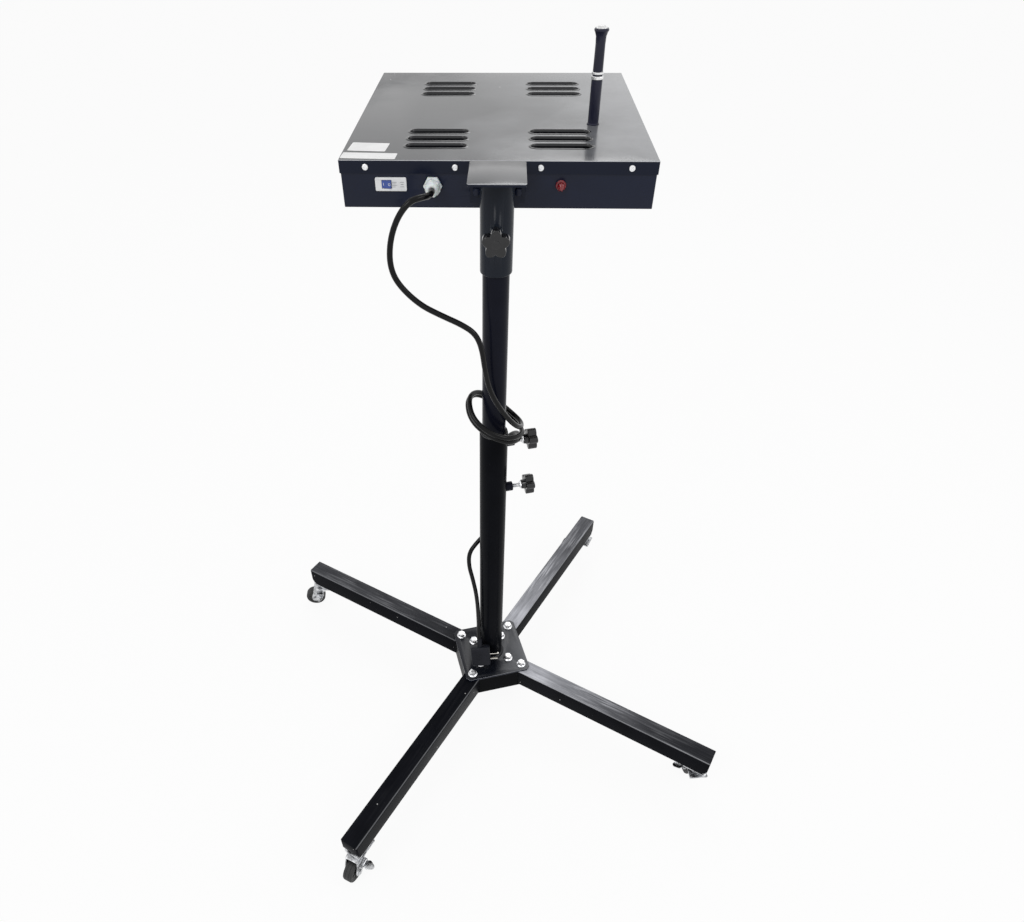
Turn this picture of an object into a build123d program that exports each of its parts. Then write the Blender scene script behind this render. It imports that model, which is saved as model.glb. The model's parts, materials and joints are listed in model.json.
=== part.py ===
from build123d import *
import os
from math import cos, sin, radians, tan, sqrt, pi

os.makedirs("parts", exist_ok=True)

# Infrared flash dryer: a square heater head on a height-adjustable mast over a
# four-leg caster base. Millimetres, +Z up, origin on the floor under the column.

# ---- driving dimensions ----
base_yaw = 15.8          # the base and column stand turned by this about Z, against the head
caster_h = 75.0          # floor to the underside of the legs
cut = 1.0                # what a cut or a joined piece runs past a face

leg_w = 40.0             # leg tube width
leg_h = 48.0             # leg tube height
leg_t = 2.0              # leg tube wall
leg_tip_r = 543.5        # column axis to the end of a leg
leg_root_r = 26.0        # column axis to the inner end of a leg
leg_end_round = 18.0     # rounding under the closed end
leg_edge_round = 3.0     # long corners of the tube

hub_half = 75.0          # half the side of the hub plate
hub_corner_cut = 8.0     # chamfer of the plate's corners
hub_plate_t = 5.0
hub_wall_t = 3.0
hub_floor_t = 3.0
hub_leg_gap = 0.3        # clearance of the hub walls to the legs

bolt_d = 10.0
bolt_hole_gap = 0.8      # hole over bolt diameter
bolt_r_in = 47.0         # inner bolt circle radius
bolt_r_out = 82.0        # outer bolt circle radius
bolt_flange_d = 21.0
bolt_flange_t = 2.0
bolt_hex = 15.0
bolt_hex_h = 6.5
bolt_tail = 3.0          # thread past the nut
nut_h = 8.0
thread_gap = 0.1         # radial, a screw in its thread

column_d = 50.8
column_bore = 46.4
column_top_z = 760.0
weld_w = 5.0             # weld bead at the column's foot
weld_toe = 1.2           # upright edge of the bead
weld_gap = 0.05

bush_gap = 0.1           # guide bush in the column, and round the mast
bush_len = 70.0
bush_lip_t = 3.0
bush_lip_inset = 0.8

mast_d = 41.5
mast_bore = 37.5
mast_bottom_z = 470.0
mast_ring_len = 30.0     # guide ring on the mast's lower end
mast_ring_wall_gap = 0.1
mast_ring_fit = 0.02
mast_head_gap = 0.3      # mast end to the underside of the arm plate

boss_d = 18.0            # welded clamp boss
boss_len = 12.0
knob_z_hi = 735.0
knob_z_lo = 628.0
knob_arm_drop = 70.5     # the arm's knob, under the lid's upper face
screw_d = 8.0
screw_tube_gap = 0.4     # clamp screw in the tube's hole, radial
screw_tip_gap = 0.3      # screw tip to the mast
screw_free = 18.0        # bare shaft between boss and knob
knob_hub_d = 20.0
knob_hub_len = 7.0
knob_d = 40.0
knob_len = 16.0
knob_round = 3.0
knob_lobes = 5
knob_lobe_cut_d = 13.0
knob_lobe_cut_out = 2.0  # centre of a cut past the knob's rim

head_w = 457.0           # lid, side to side
head_d = 520.0           # lid, front to back
head_front_y = 45.0      # lid's front face, behind the mast axis
head_top_z = 1196.5      # lid's upper face
head_h = 65.5            # lid top to the case's lower edge
sheet_t = 1.5            # case sheet
lid_t = 1.2              # lid sheet
lid_flange_h = 18.0
lid_gap = 0.3            # lid flange to case
lid_edge_round = 2.0
lid_top_round = 0.96
case_lip = 15.0          # inward lip round the open underside

slot_len = 92.0          # lid cooling slots
slot_w = 22.0
slot_x = 93.0            # centre of a slot from the middle
slot_row_1 = 65.5        # first row, back from the lid's front edge
slot_pitch = 36.0
slot_rows = 3
slot_back_row = 86.0     # last row, forward from the lid's back edge

lid_screw_d = 9.0
lid_screw_head = 2.6
lid_screw_thread_d = 3.6
lid_screw_gap = 0.2
lid_screw_len = 6.5
lid_screw_drop = 9.0     # under the lid's upper face
lid_screw_x_in = 61.0
lid_screw_x_out = 190.0
lid_screw_side_y = 197.6 # outer side screws, from the head's middle

arm_w = 80.0
arm_t = 4.0
arm_reach = 51.0         # plate past the mast axis, to the front
arm_corner = 4.0
arm_drop = 57.0          # depth of the upright plate on the case front
arm_gap = 0.3
arm_bolt_d = 6.0
arm_bolt_gap = 0.3       # radial
arm_bolt_head_d = 12.0
arm_bolt_head = 4.0
arm_nut_d = 11.0
arm_nut_t = 4.6
arm_bolt_tail = 1.5
arm_bolt_x = 30.0
arm_bolt_low = 25.0      # lower bolt row, over the case's lower edge
arm_bolt_pitch = 14.0
gusset_t = 4.0
gusset_h = 48.0

sleeve_d = 48.8
sleeve_gap = 0.1         # sleeve bore round the mast, radial
sleeve_len = 137.5
sleeve_end_round = 2.2

switch_in = 73.6         # middle of the switch, in from the head's side
switch_drop = 32.5       # and under the lid's upper face
switch_w = 45.4
switch_h = 18.6
switch_proud = 2.4
switch_round = 2.0
switch_depth = 20.0
switch_body_in = 3.3     # the body in from the bezel's rim, at the ends
switch_body_low = 2.3    # and at the top and bottom
switch_cut_gap = 0.3     # the case's cut-out round the body
rocker_off = 6.1         # rocker's middle, out from the switch's middle
rocker_w = 13.7
rocker_h = 11.0
rocker_depth = 6.0
rocker_gap = 0.6
rocker_end_gap = 0.5
rocker_sink = 0.6        # pivot in front of the rocker's middle depth
rocker_tilt = 9.0
rocker_pin_d = 2.4
rocker_pin_gap = 0.1

gland_in = 134.5
gland_drop = 34.5
gland_hex = 24.0
gland_hex_t = 8.0
gland_nut_d = 22.0
gland_nut_end_d = 14.0
gland_nut_len = 14.0
gland_stub_d = 15.0
gland_stub_len = 14.0
gland_hole_gap = 0.3
locknut_t = 5.0

lamp_in = 137.3
lamp_drop = 33.5
lamp_ring_d = 15.0
lamp_ring_t = 2.0
lamp_d = 12.0
lamp_len = 9.0
lamp_round = 2.5
lamp_stub_d = 10.0
lamp_stub_len = 16.0

handle_in = 81.0
handle_back = 180.0      # from the lid's front face
handle_len = 130.5
handle_low_d = 17.0
handle_top_d = 15.4
handle_neck_d = 13.4     # under the bands
handle_low_len = 62.0
handle_band_d = 18.2
handle_band_1 = 4.5      # lower band, along the handle
handle_band_gap = 2.2
handle_band_2 = 3.2
handle_band_fit = 0.05
handle_rim_d = 22.0
handle_rim_t = 4.0
handle_cap_d = 11.0
handle_cap_t = 3.5
handle_stud_deep = 13.0
handle_stud_head = 2.5
handle_stud_fit = 0.1

board_t = 25.0           # ceramic-fibre heater board
board_gap = 0.5
board_over_lip = 14.5    # board's lower face above the case's lower edge
board_step_t = 2.0       # what is left of the board under the front panel's fittings
rod_d = 8.0
rod_count = 10
rod_pitch = 48.0
rod_len = 410.0
rod_clear = 0.3
rod_rail_w = 10.0
guard_wire = 2.5
guard_nx = 9
guard_ny = 10
guard_edge = 2.0
guard_seat = 0.3

plate_l = 52.0           # caster top plate, along the leg
plate_w = 38.0
plate_t = 2.5
plate_round = 5.0
caster_inset = 26.0      # king pin, in from the leg's end
race_d = 34.0
race_h = 9.5
pin_d = 8.0
pin_gap = 0.15
rivet_d = 14.0
rivet_h = 2.5
swivel_gap = 0.3
stem_d = 10.0
stem_len = 14.0
stem_nut = 17.0
stem_nut_gap = 0.05
stem_nut_h = 7.0
crown_t = 3.5
crown_w = 30.0
crown_tail = 25.0        # crown's wider end, before the king pin
crown_tail_w = 40.0
crown_corner = 1.5
crown_back = 32.0
cheek_t = 2.5
cheek_front = 5.0        # cheek's upper corner, before the king pin
cheek_throat = 12.0      # cheek's narrow place before the axle
trail = 32.0
wheel_r = 25.0
wheel_w = 21.0
wheel_side_gap = 1.5
wheel_round = 3.0
wheel_tread = 7.0        # tread ring outside the dished sides
wheel_dish = 2.5
axle_d = 8.0
axle_gap = 0.1
axle_head_d = 14.0
axle_head_t = 3.5
cheek_end_r = 9.0
brake_x = 18.0           # brake pivot, behind the king pin
brake_z = 42.0
brake_pin_d = 4.0
brake_barrel_d = 7.4
brake_barrel_len = 14.0
brake_lug_t = 2.5
brake_lug_h = 7.0
brake_gap = 0.3
brake_reach = 24.0
brake_t = 2.2
brake_rise = 0.8         # lever plate over the pivot
brake_w = 20.0
brake_tip_w = 7.0
brake_neck = 3.5         # leaf stays narrow between the lugs
brake_belly = 10.5       # widest place of the leaf

cord_d = 9.0
plug_len = 48.0
plug_w = 44.0
plug_t = 22.0
plug_round = 6.0
plug_shoulder = 4.0
plug_relief_len = 20.0
plug_relief_d = 13.0
plug_relief_wall = 0.8   # relief's small end round the cord
blade_len = 17.0
blade_w = 6.4
blade_t = 1.6
blade_gap = 12.7
blade_up = 24.0          # middle of the blades, along the plug's body
blade_y = 5.0            # blades off the body's middle
pin_ground_d = 4.8
pin_ground_len = 20.0
pin_ground_y = -6.5

# turn of each caster's fork, from its leg's outward direction
turn_fl = 5.0
turn_rf = 126.0
turn_br = 95.0
turn_lb = 35.0

# ---- derived places ----
leg_z0 = caster_h
leg_z1 = leg_z0 + leg_h
plate_z1 = leg_z1 + hub_plate_t
column_r = column_d / 2
mast_r = mast_d / 2
caster_r = leg_tip_r - caster_inset
leg_angles = {"rf": base_yaw - 45, "br": base_yaw + 45, "lb": base_yaw + 135, "fl": base_yaw + 225}
caster_turn = {"fl": turn_fl, "rf": turn_rf, "br": turn_br, "lb": turn_lb}
bolt_places = []
for a in leg_angles.values():
    for r in (bolt_r_in, bolt_r_out):
        bolt_places.append((r * cos(radians(a)), r * sin(radians(a))))
hole_r = (bolt_d + bolt_hole_gap) / 2
screw_hole_r = screw_d / 2 + screw_tube_gap

arm_z0 = head_top_z - arm_t
head_z0 = head_top_z - head_h
lid_x = head_w / 2
lid_y1 = head_front_y + head_d
lid_side = lid_t + lid_gap
case_x = lid_x - lid_side
case_y0 = head_front_y + lid_side
case_y1 = lid_y1 - lid_side
case_top_z = head_top_z - lid_side
head_mid_y = head_front_y + head_d / 2
knob_z_arm = head_top_z - knob_arm_drop
switch_x, switch_z = switch_in - lid_x, head_top_z - switch_drop
rocker_x = switch_x - rocker_off
gland_x, gland_z = gland_in - lid_x, head_top_z - gland_drop
lamp_x, lamp_z = lid_x - lamp_in, head_top_z - lamp_drop
handle_x, handle_y = lid_x - handle_in, head_front_y + handle_back


def save(shape, name):
    export_step(shape, "parts/" + name + ".step")


def cyl(r, z0, z1, x=0.0, y=0.0):
    return Pos(x, y, (z0 + z1) / 2) * Cylinder(r, z1 - z0)


def cyl_x(r, x0, x1, y, z):
    return Pos((x0 + x1) / 2, y, z) * Rot(0, 90, 0) * Cylinder(r, x1 - x0)


def cyl_y(r, y0, y1, x, z):
    return Pos(x, (y0 + y1) / 2, z) * Rot(90, 0, 0) * Cylinder(r, y1 - y0)


def block(x0, x1, y0, y1, z0, z1):
    return Pos((x0 + x1) / 2, (y0 + y1) / 2, (z0 + z1) / 2) * Box(x1 - x0, y1 - y0, z1 - z0)


def hexa(flats, z0, z1, x=0.0, y=0.0):
    return Pos(x, y, z0) * extrude(RegularPolygon(flats / sqrt(3), 6), z1 - z0)


def hexa_y(flats, y0, y1, x, z):
    return Pos(x, y1, z) * Rot(90, 0, 0) * extrude(RegularPolygon(flats / sqrt(3), 6), y1 - y0)


def end_low_edge(shape):
    return shape.edges().group_by(Axis.X)[-1].sort_by(Axis.Z)[0]


# ---- legs: closed rectangular tubes, rounded under the outer end ----
def leg_shape():
    half = leg_w / 2
    outer = block(leg_root_r, leg_tip_r, -half, half, leg_z0, leg_z1)
    outer = fillet(end_low_edge(outer), leg_end_round)
    longs = [e for e in outer.edges().filter_by(Axis.X) if e.length > leg_h]
    outer = fillet(longs, leg_edge_round)
    inner = block(leg_root_r - cut, leg_tip_r - leg_t, leg_t - half, half - leg_t,
                  leg_z0 + leg_t, leg_z1 - leg_t)
    inner = fillet(end_low_edge(inner), leg_end_round - leg_t)
    tube = outer - inner
    for r in (bolt_r_in, bolt_r_out):
        tube -= cyl(hole_r, leg_z0 - cut, leg_z1 + cut, r)
    return tube - cyl((stem_d + bolt_hole_gap) / 2, leg_z0 - cut, leg_z0 + leg_t + cut, caster_r)


leg = leg_shape()
for key, ang in leg_angles.items():
    save(Rot(0, 0, ang) * leg, "leg_" + key)


# ---- hub: bolted top plate over a welded box that the legs run into ----
def hub_sheet(z0, thick):
    outline = chamfer(Rectangle(2 * hub_half, 2 * hub_half).vertices(), hub_corner_cut)
    sheet = Rot(0, 0, base_yaw) * Pos(0, 0, z0) * extrude(outline, thick)
    for x, y in bolt_places:
        sheet -= cyl(hole_r, z0 - cut, z0 + thick + cut, x, y)
    return sheet


save(hub_sheet(leg_z1, hub_plate_t), "hub_plate")

hub_z0 = leg_z0 - hub_floor_t
hub_side = 2 * hub_half - 2 * hub_wall_t
hub_walls = Box(2 * hub_half, 2 * hub_half, leg_h) - Box(hub_side, hub_side, leg_h + 2 * cut)
for a in (45, 135):
    hub_walls -= Rot(0, 0, a) * Box(4 * hub_half, leg_w + 2 * hub_leg_gap, leg_h + 2 * cut)
hub_walls = Rot(0, 0, base_yaw) * Pos(0, 0, leg_z0 + leg_h / 2) * hub_walls
save(hub_walls + hub_sheet(hub_z0, hub_floor_t), "hub_box")

nut_z1 = hub_z0 - bolt_flange_t
nut_z0 = hub_z0 - nut_h
head_low_z = plate_z1 + bolt_flange_t
bolts, nuts = [], []
for x, y in bolt_places:
    b = cyl(bolt_d / 2, nut_z0 - bolt_tail, plate_z1 + cut, x, y)
    b += cyl(bolt_flange_d / 2, plate_z1, head_low_z, x, y)
    bolts.append(b + hexa(bolt_hex, head_low_z, head_low_z + bolt_hex_h, x, y))
    n = hexa(bolt_hex, nut_z0, nut_z1, x, y) + cyl(bolt_flange_d / 2, nut_z1, hub_z0, x, y)
    nuts.append(n - cyl(bolt_d / 2 + thread_gap, nut_z0 - cut, hub_z0 + cut, x, y))
save(Compound(bolts), "hub_bolts")
save(Compound(nuts), "hub_nuts")

# ---- column with its guide bush ----
column = cyl(column_r, plate_z1, column_top_z) - cyl(column_bore / 2, plate_z1 - cut, column_top_z + cut)
for z in (knob_z_hi, knob_z_lo):
    column -= Rot(0, 0, base_yaw) * cyl_x(screw_hole_r, 0, column_r + cut, 0, z)
save(column, "column_tube")

weld = cyl(column_r + weld_w, plate_z1, plate_z1 + weld_w)
weld = chamfer(weld.edges().filter_by(GeomType.CIRCLE).sort_by(Axis.Z)[-1], weld_w - weld_toe)
save(weld - cyl(column_r + weld_gap, plate_z1 - cut, plate_z1 + weld_w + cut), "column_weld")

bush_z0 = column_top_z - bush_len
bush_z1 = column_top_z + bush_lip_t
bush = cyl(column_bore / 2 - bush_gap, bush_z0, column_top_z)
bush += cyl(column_r - bush_lip_inset, column_top_z, bush_z1)
bush -= cyl(mast_r + bush_gap, bush_z0 - cut, bush_z1 + cut)
save(bush - Rot(0, 0, base_yaw) * cyl_x(screw_hole_r, 0, column_r, 0, knob_z_hi), "column_bush")


# ---- clamp bosses and knobs: star grip on a screw through a boss on a tube ----
def boss(tube_r, z):
    b = cyl_x(boss_d / 2, tube_r - boss_d / 4, tube_r + boss_len, 0, z)
    b -= cyl(tube_r + weld_gap, z - boss_d, z + boss_d)
    return b - cyl_x(screw_d / 2 + thread_gap, 0, tube_r + boss_len + cut, 0, z)


def clamp_knob(tube_r, z):
    hub_x0 = tube_r + boss_len + screw_free
    hub_x1 = hub_x0 + knob_hub_len
    star = cyl_x(knob_d / 2, hub_x1, hub_x1 + knob_len, 0, z)
    star = fillet(star.edges().filter_by(GeomType.CIRCLE), knob_round)
    reach = knob_d / 2 + knob_lobe_cut_out
    for i in range(knob_lobes):
        a = radians(90 + (i + 0.5) * 360 / knob_lobes)
        y, cz = reach * cos(a), z + reach * sin(a)
        star -= cyl_x(knob_lobe_cut_d / 2, hub_x1 - cut, hub_x1 + knob_len + cut, y, cz)
    hub = cyl_x(knob_hub_d / 2, hub_x0, hub_x1, 0, z) - cyl_x(screw_d / 2, hub_x0 - cut, hub_x1, 0, z)
    return cyl_x(screw_d / 2, mast_r + screw_tip_gap, hub_x1, 0, z), hub + star


front_turn = -90
clamps = [("upper", column_r, knob_z_hi, base_yaw), ("lower", column_r, knob_z_lo, base_yaw),
          ("arm", sleeve_d / 2, knob_z_arm, front_turn)]
for name, tube_r, z, turn in clamps:
    screw, grip = clamp_knob(tube_r, z)
    save(Rot(0, 0, turn) * screw, "knob_screw_" + name)
    save(Rot(0, 0, turn) * grip, "knob_grip_" + name)
    if name != "arm":
        save(Rot(0, 0, turn) * boss(tube_r, z), "boss_" + name)

# ---- mast ----
mast_top_z = arm_z0 - mast_head_gap
mast = cyl(mast_r, mast_bottom_z, mast_top_z) - cyl(mast_bore / 2, mast_bottom_z - cut, mast_top_z + cut)
save(mast, "mast_tube")
ring_z1 = mast_bottom_z + mast_ring_len
ring = cyl(column_bore / 2 - mast_ring_wall_gap, mast_bottom_z, ring_z1)
save(ring - cyl(mast_r + mast_ring_fit, mast_bottom_z - cut, ring_z1 + cut), "mast_ring")

# ---- arm: sleeve with its boss, top plate, upright plate and gusset, welded ----
sleeve_z0 = arm_z0 - sleeve_len
sleeve = cyl(sleeve_d / 2, sleeve_z0, arm_z0)
sleeve = fillet(sleeve.edges().filter_by(GeomType.CIRCLE).sort_by(Axis.Z)[0], sleeve_end_round)
boss_end = sleeve_d / 2 + boss_len
sleeve += Rot(0, 0, front_turn) * cyl_x(boss_d / 2, 0, boss_end, 0, knob_z_arm)
sleeve -= Rot(0, 0, front_turn) * cyl_x(screw_d / 2 + thread_gap, 0, boss_end + cut, 0, knob_z_arm)
save(sleeve - cyl(mast_r + sleeve_gap, sleeve_z0 - cut, arm_z0 + cut), "arm_sleeve")

arm_y1 = head_front_y - arm_gap
arm_low_z = head_top_z - arm_drop
arm = block(-arm_w / 2, arm_w / 2, -arm_reach, arm_y1, arm_z0, head_top_z)
arm = fillet([e for e in arm.edges().filter_by(Axis.Z) if e.center().Y < 0], arm_corner)
arm += block(-arm_w / 2, arm_w / 2, arm_y1 - arm_t, arm_y1, arm_low_z, arm_z0 + cut)
pad_z1 = head_top_z - lid_flange_h - arm_gap
arm += block(-arm_w / 2, arm_w / 2, arm_y1 - cut, case_y0 - arm_gap, arm_low_z, pad_z1)
arm += block(-gusset_t / 2, gusset_t / 2, sleeve_d / 2 + sleeve_gap, arm_y1 - cut,
             arm_z0 - gusset_h, arm_z0 + cut)
arm_bolt_z = head_z0 + arm_bolt_low
arm_bolt_at = [(x, z) for x in (-arm_bolt_x, arm_bolt_x) for z in (arm_bolt_z, arm_bolt_z + arm_bolt_pitch)]
arm_face_y = arm_y1 - arm_t
nut_y0 = case_y0 + sheet_t
nut_y1 = nut_y0 + arm_nut_t
arm_bolts = []
for x, z in arm_bolt_at:
    arm -= cyl_y(arm_bolt_d / 2 + arm_bolt_gap, arm_face_y - cut, case_y0, x, z)
    b = cyl_y(arm_bolt_head_d / 2, arm_face_y - arm_bolt_head, arm_face_y, x, z)
    b += cyl_y(arm_bolt_d / 2, arm_face_y - cut, nut_y1 + arm_bolt_tail, x, z)
    arm_bolts.append(b + cyl_y(arm_nut_d / 2, nut_y0, nut_y1, x, z))
save(arm, "arm_plate")
save(Compound(arm_bolts), "arm_bolts")

# ---- heater case: sheet walls with an inward lip round the open underside ----
switch_x0, switch_x1 = switch_x - switch_w / 2, switch_x + switch_w / 2
switch_z0, switch_z1 = switch_z - switch_h / 2, switch_z + switch_h / 2
wall_y0, wall_y1 = case_y0 + sheet_t, case_y1 - sheet_t
case = block(-case_x, case_x, case_y0, case_y1, head_z0, case_top_z)
case = fillet(case.edges().filter_by(Axis.Z), lid_edge_round)
case -= block(sheet_t - case_x, case_x - sheet_t, wall_y0, wall_y1, head_z0 + sheet_t, case_top_z + cut)
case -= block(case_lip - case_x, case_x - case_lip, case_y0 + case_lip, case_y1 - case_lip,
              head_z0 - cut, head_z0 + sheet_t + cut)
side_cut = switch_body_in - switch_cut_gap
low_cut = switch_body_low - switch_cut_gap
case -= block(switch_x0 + side_cut, switch_x1 - side_cut, case_y0 - cut, wall_y0 + cut,
              switch_z0 + low_cut, switch_z1 - low_cut)
case -= cyl_y(gland_stub_d / 2 + gland_hole_gap, case_y0 - cut, wall_y0 + cut, gland_x, gland_z)
case -= cyl_y(lamp_stub_d / 2 + gland_hole_gap, case_y0 - cut, wall_y0 + cut, lamp_x, lamp_z)
for x, z in arm_bolt_at:
    case -= cyl_y(arm_bolt_d / 2 + arm_bolt_gap, case_y0 - cut, wall_y0 + cut, x, z)

# ---- lid with its flange, cooling slots and screws ----
lid_low_z = head_top_z - lid_flange_h
lid_under_z = head_top_z - lid_t
lid = block(-lid_x, lid_x, head_front_y, lid_y1, lid_low_z, head_top_z)
lid = fillet(lid.edges().filter_by(Axis.Z), lid_edge_round)
lid = fillet(lid.faces().sort_by(Axis.Z)[-1].edges(), lid_top_round)
lid -= block(lid_t - lid_x, lid_x - lid_t, head_front_y + lid_t, lid_y1 - lid_t,
             lid_low_z - cut, lid_under_z)
slot = extrude(SlotOverall(slot_len, slot_w), lid_t + 2 * cut)
for i in range(slot_rows):
    for y in (head_front_y + slot_row_1 + i * slot_pitch, lid_y1 - slot_back_row - i * slot_pitch):
        for x in (-slot_x, slot_x):
            lid -= Pos(x, y, lid_under_z - cut) * slot

screw_z = head_top_z - lid_screw_drop
thread_r = lid_screw_thread_d / 2
screws = []
for x in (-lid_screw_x_out, -lid_screw_x_in, lid_screw_x_in, lid_screw_x_out):
    for face, out in ((head_front_y, -1), (lid_y1, 1)):
        tip, far = face - out * lid_screw_len, face + out * lid_screw_head
        body = cyl_y(thread_r, min(tip, face), max(tip, face), x, screw_z)
        screws.append(body + cyl_y(lid_screw_d / 2, min(face, far), max(face, far), x, screw_z))
        hole = cyl_y(thread_r + lid_screw_gap, face - lid_screw_len, face + lid_screw_len, x, screw_z)
        lid -= hole
        case -= hole
for y in (head_mid_y - lid_screw_side_y, head_mid_y, head_mid_y + lid_screw_side_y):
    for face, out in ((-lid_x, -1), (lid_x, 1)):
        tip, far = face - out * lid_screw_len, face + out * lid_screw_head
        body = cyl_x(thread_r, min(tip, face), max(tip, face), y, screw_z)
        screws.append(body + cyl_x(lid_screw_d / 2, min(face, far), max(face, far), y, screw_z))
        hole = cyl_x(thread_r + lid_screw_gap, face - lid_screw_len, face + lid_screw_len, y, screw_z)
        lid -= hole
        case -= hole
lid -= cyl(thread_r + lid_screw_gap, lid_under_z - cut, head_top_z + cut, handle_x, handle_y)
save(case, "head_case")
save(lid, "head_lid")
save(Compound(screws), "lid_screws")

# ---- front panel: rocker switch, cable gland, pilot lamp ----
bezel_y0 = case_y0 - switch_proud
bezel = block(switch_x0, switch_x1, bezel_y0, case_y0, switch_z0, switch_z1)
bezel = fillet(bezel.edges().filter_by(Axis.Y), switch_round)
bezel += block(switch_x0 + switch_body_in, switch_x1 - switch_body_in, case_y0 - cut, case_y0 + switch_depth,
               switch_z0 + switch_body_low, switch_z1 - switch_body_low)
well_x = rocker_w / 2 + rocker_gap
well_z = rocker_h / 2 + rocker_end_gap
bezel -= block(rocker_x - well_x, rocker_x + well_x, bezel_y0 - cut, bezel_y0 + rocker_depth + 2 * cut,
               switch_z - well_z, switch_z + well_z)
pivot_y = bezel_y0 + rocker_depth / 2 - rocker_sink
pin_z = well_z + cut
bezel += cyl(rocker_pin_d / 2, switch_z - pin_z, switch_z + pin_z, rocker_x, pivot_y)
save(bezel, "switch_bezel")
rocker = Pos(rocker_x, pivot_y, switch_z) * Rot(0, 0, -rocker_tilt) * Box(rocker_w, rocker_depth, rocker_h)
rocker_hole = cyl(rocker_pin_d / 2 + rocker_pin_gap, switch_z0, switch_z1, rocker_x, pivot_y)
save(rocker - rocker_hole, "switch_rocker")

hex_y0 = case_y0 - gland_hex_t
cap_y0 = hex_y0 - gland_nut_len
gland = hexa_y(gland_hex, hex_y0, case_y0, gland_x, gland_z)
cap = Cone(gland_nut_d / 2, gland_nut_end_d / 2, gland_nut_len)
gland += Pos(gland_x, (hex_y0 + cap_y0) / 2, gland_z) * Rot(90, 0, 0) * cap
gland += cyl_y(gland_stub_d / 2, case_y0 - cut, case_y0 + gland_stub_len, gland_x, gland_z)
save(gland, "cord_gland")
lock = hexa_y(gland_hex, wall_y0, wall_y0 + locknut_t, gland_x, gland_z)
lock_hole = cyl_y(gland_stub_d / 2 + weld_gap, case_y0, wall_y0 + locknut_t + cut, gland_x, gland_z)
save(lock - lock_hole, "gland_locknut")

ring_y0 = case_y0 - lamp_ring_t
lamp_ring = cyl_y(lamp_ring_d / 2, ring_y0, case_y0, lamp_x, lamp_z)
lamp_ring += cyl_y(lamp_stub_d / 2, case_y0 - cut, case_y0 + lamp_stub_len, lamp_x, lamp_z)
save(lamp_ring, "lamp_body")
lens = cyl_y(lamp_d / 2, ring_y0 - lamp_len, ring_y0, lamp_x, lamp_z)
save(fillet(lens.edges().filter_by(GeomType.CIRCLE).sort_by(Axis.Y)[0], lamp_round), "lamp_lens")


# ---- upright hand grip on the lid ----
def on_handle(d, z0, z1):
    return cyl(d / 2, z0, z1, handle_x, handle_y)


band_z = head_top_z + handle_low_len
gap_z = band_z + handle_band_1
band_2_z = gap_z + handle_band_gap
upper_z = band_2_z + handle_band_2
grip_z = head_top_z + handle_len - handle_cap_t
stud_z = head_top_z + handle_stud_deep
grip = on_handle(handle_low_d, head_top_z, band_z) + on_handle(handle_neck_d, band_z - cut, upper_z + cut)
grip += on_handle(handle_top_d, gap_z, band_2_z) + on_handle(handle_top_d, upper_z, grip_z)
grip += on_handle(handle_rim_d, grip_z - handle_rim_t, grip_z)
save(grip - on_handle(lid_screw_thread_d, head_top_z - cut, stud_z + cut), "handle_grip")
bore = on_handle(handle_neck_d + 2 * handle_band_fit, band_z - cut, upper_z + cut)
bands = [on_handle(handle_band_d, band_z, gap_z) - bore, on_handle(handle_band_d, band_2_z, upper_z) - bore]
stud = on_handle(lid_screw_thread_d - 2 * handle_stud_fit, lid_under_z - cut, stud_z)
stud += on_handle(lid_screw_d, lid_under_z - handle_stud_head, lid_under_z)
save(Compound(bands + [on_handle(handle_cap_d, grip_z, grip_z + handle_cap_t), stud]), "handle_trim")

# ---- heater inside the case ----
board_z0 = head_z0 + board_over_lip
board_z1 = board_z0 + board_t
board_x = case_x - sheet_t - board_gap
board_y0 = wall_y0 + board_gap
step_y = board_y0 + max(switch_depth, lamp_stub_len)
board = block(-board_x, board_x, board_y0, wall_y1 - board_gap, board_z0, board_z1)
board -= block(-board_x - cut, board_x + cut, board_y0 - cut, step_y, board_z0 + board_step_t, board_z1 + cut)
save(board, "heater_board")

rod_z1 = board_z0 - rod_clear
rod_z = rod_z1 - rod_d / 2
rod_span = (rod_count - 1) * rod_pitch
rail_y = rod_span / 2 + rod_d
rails = []
for s in (-1, 1):
    x = s * (rod_len / 2 - rod_rail_w)
    rails.append(block(x - rod_rail_w / 2, x + rod_rail_w / 2, head_mid_y - rail_y, head_mid_y + rail_y,
                       rod_z - cut, rod_z1))
rods = rails[0] + rails[1]
for i in range(rod_count):
    rods += cyl_x(rod_d / 2, -rod_len / 2, rod_len / 2, head_mid_y - rod_span / 2 + i * rod_pitch, rod_z)
save(rods, "heater_rods")

guard_x = case_x - sheet_t - guard_edge
guard_y0, guard_y1 = wall_y0 + guard_edge, wall_y1 - guard_edge
guard_z0 = head_z0 + sheet_t + guard_seat
guard_z1 = guard_z0 + guard_wire
wires = []
for i in range(guard_nx):
    x = -guard_x + (2 * guard_x - guard_wire) * i / (guard_nx - 1)
    wires.append(block(x, x + guard_wire, guard_y0, guard_y1, guard_z0, guard_z1))
for i in range(guard_ny):
    y = guard_y0 + (guard_y1 - guard_y0 - guard_wire) * i / (guard_ny - 1)
    wires.append(block(-guard_x, guard_x, y, y + guard_wire, guard_z0, guard_z1))
save(wires[0].fuse(*wires[1:]), "heater_guard")

# ---- casters ----
plate_z0 = leg_z0 - plate_t
race_z0 = plate_z0 - race_h
crown_z1 = race_z0 - swivel_gap
crown_z0 = crown_z1 - crown_t
rivet_z1 = crown_z0 - swivel_gap
rivet_z0 = rivet_z1 - rivet_h
fork_in = wheel_w / 2 + wheel_side_gap
fork_out = fork_in + cheek_t
brake_y = fork_out + brake_barrel_d / 2 + brake_gap


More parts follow.
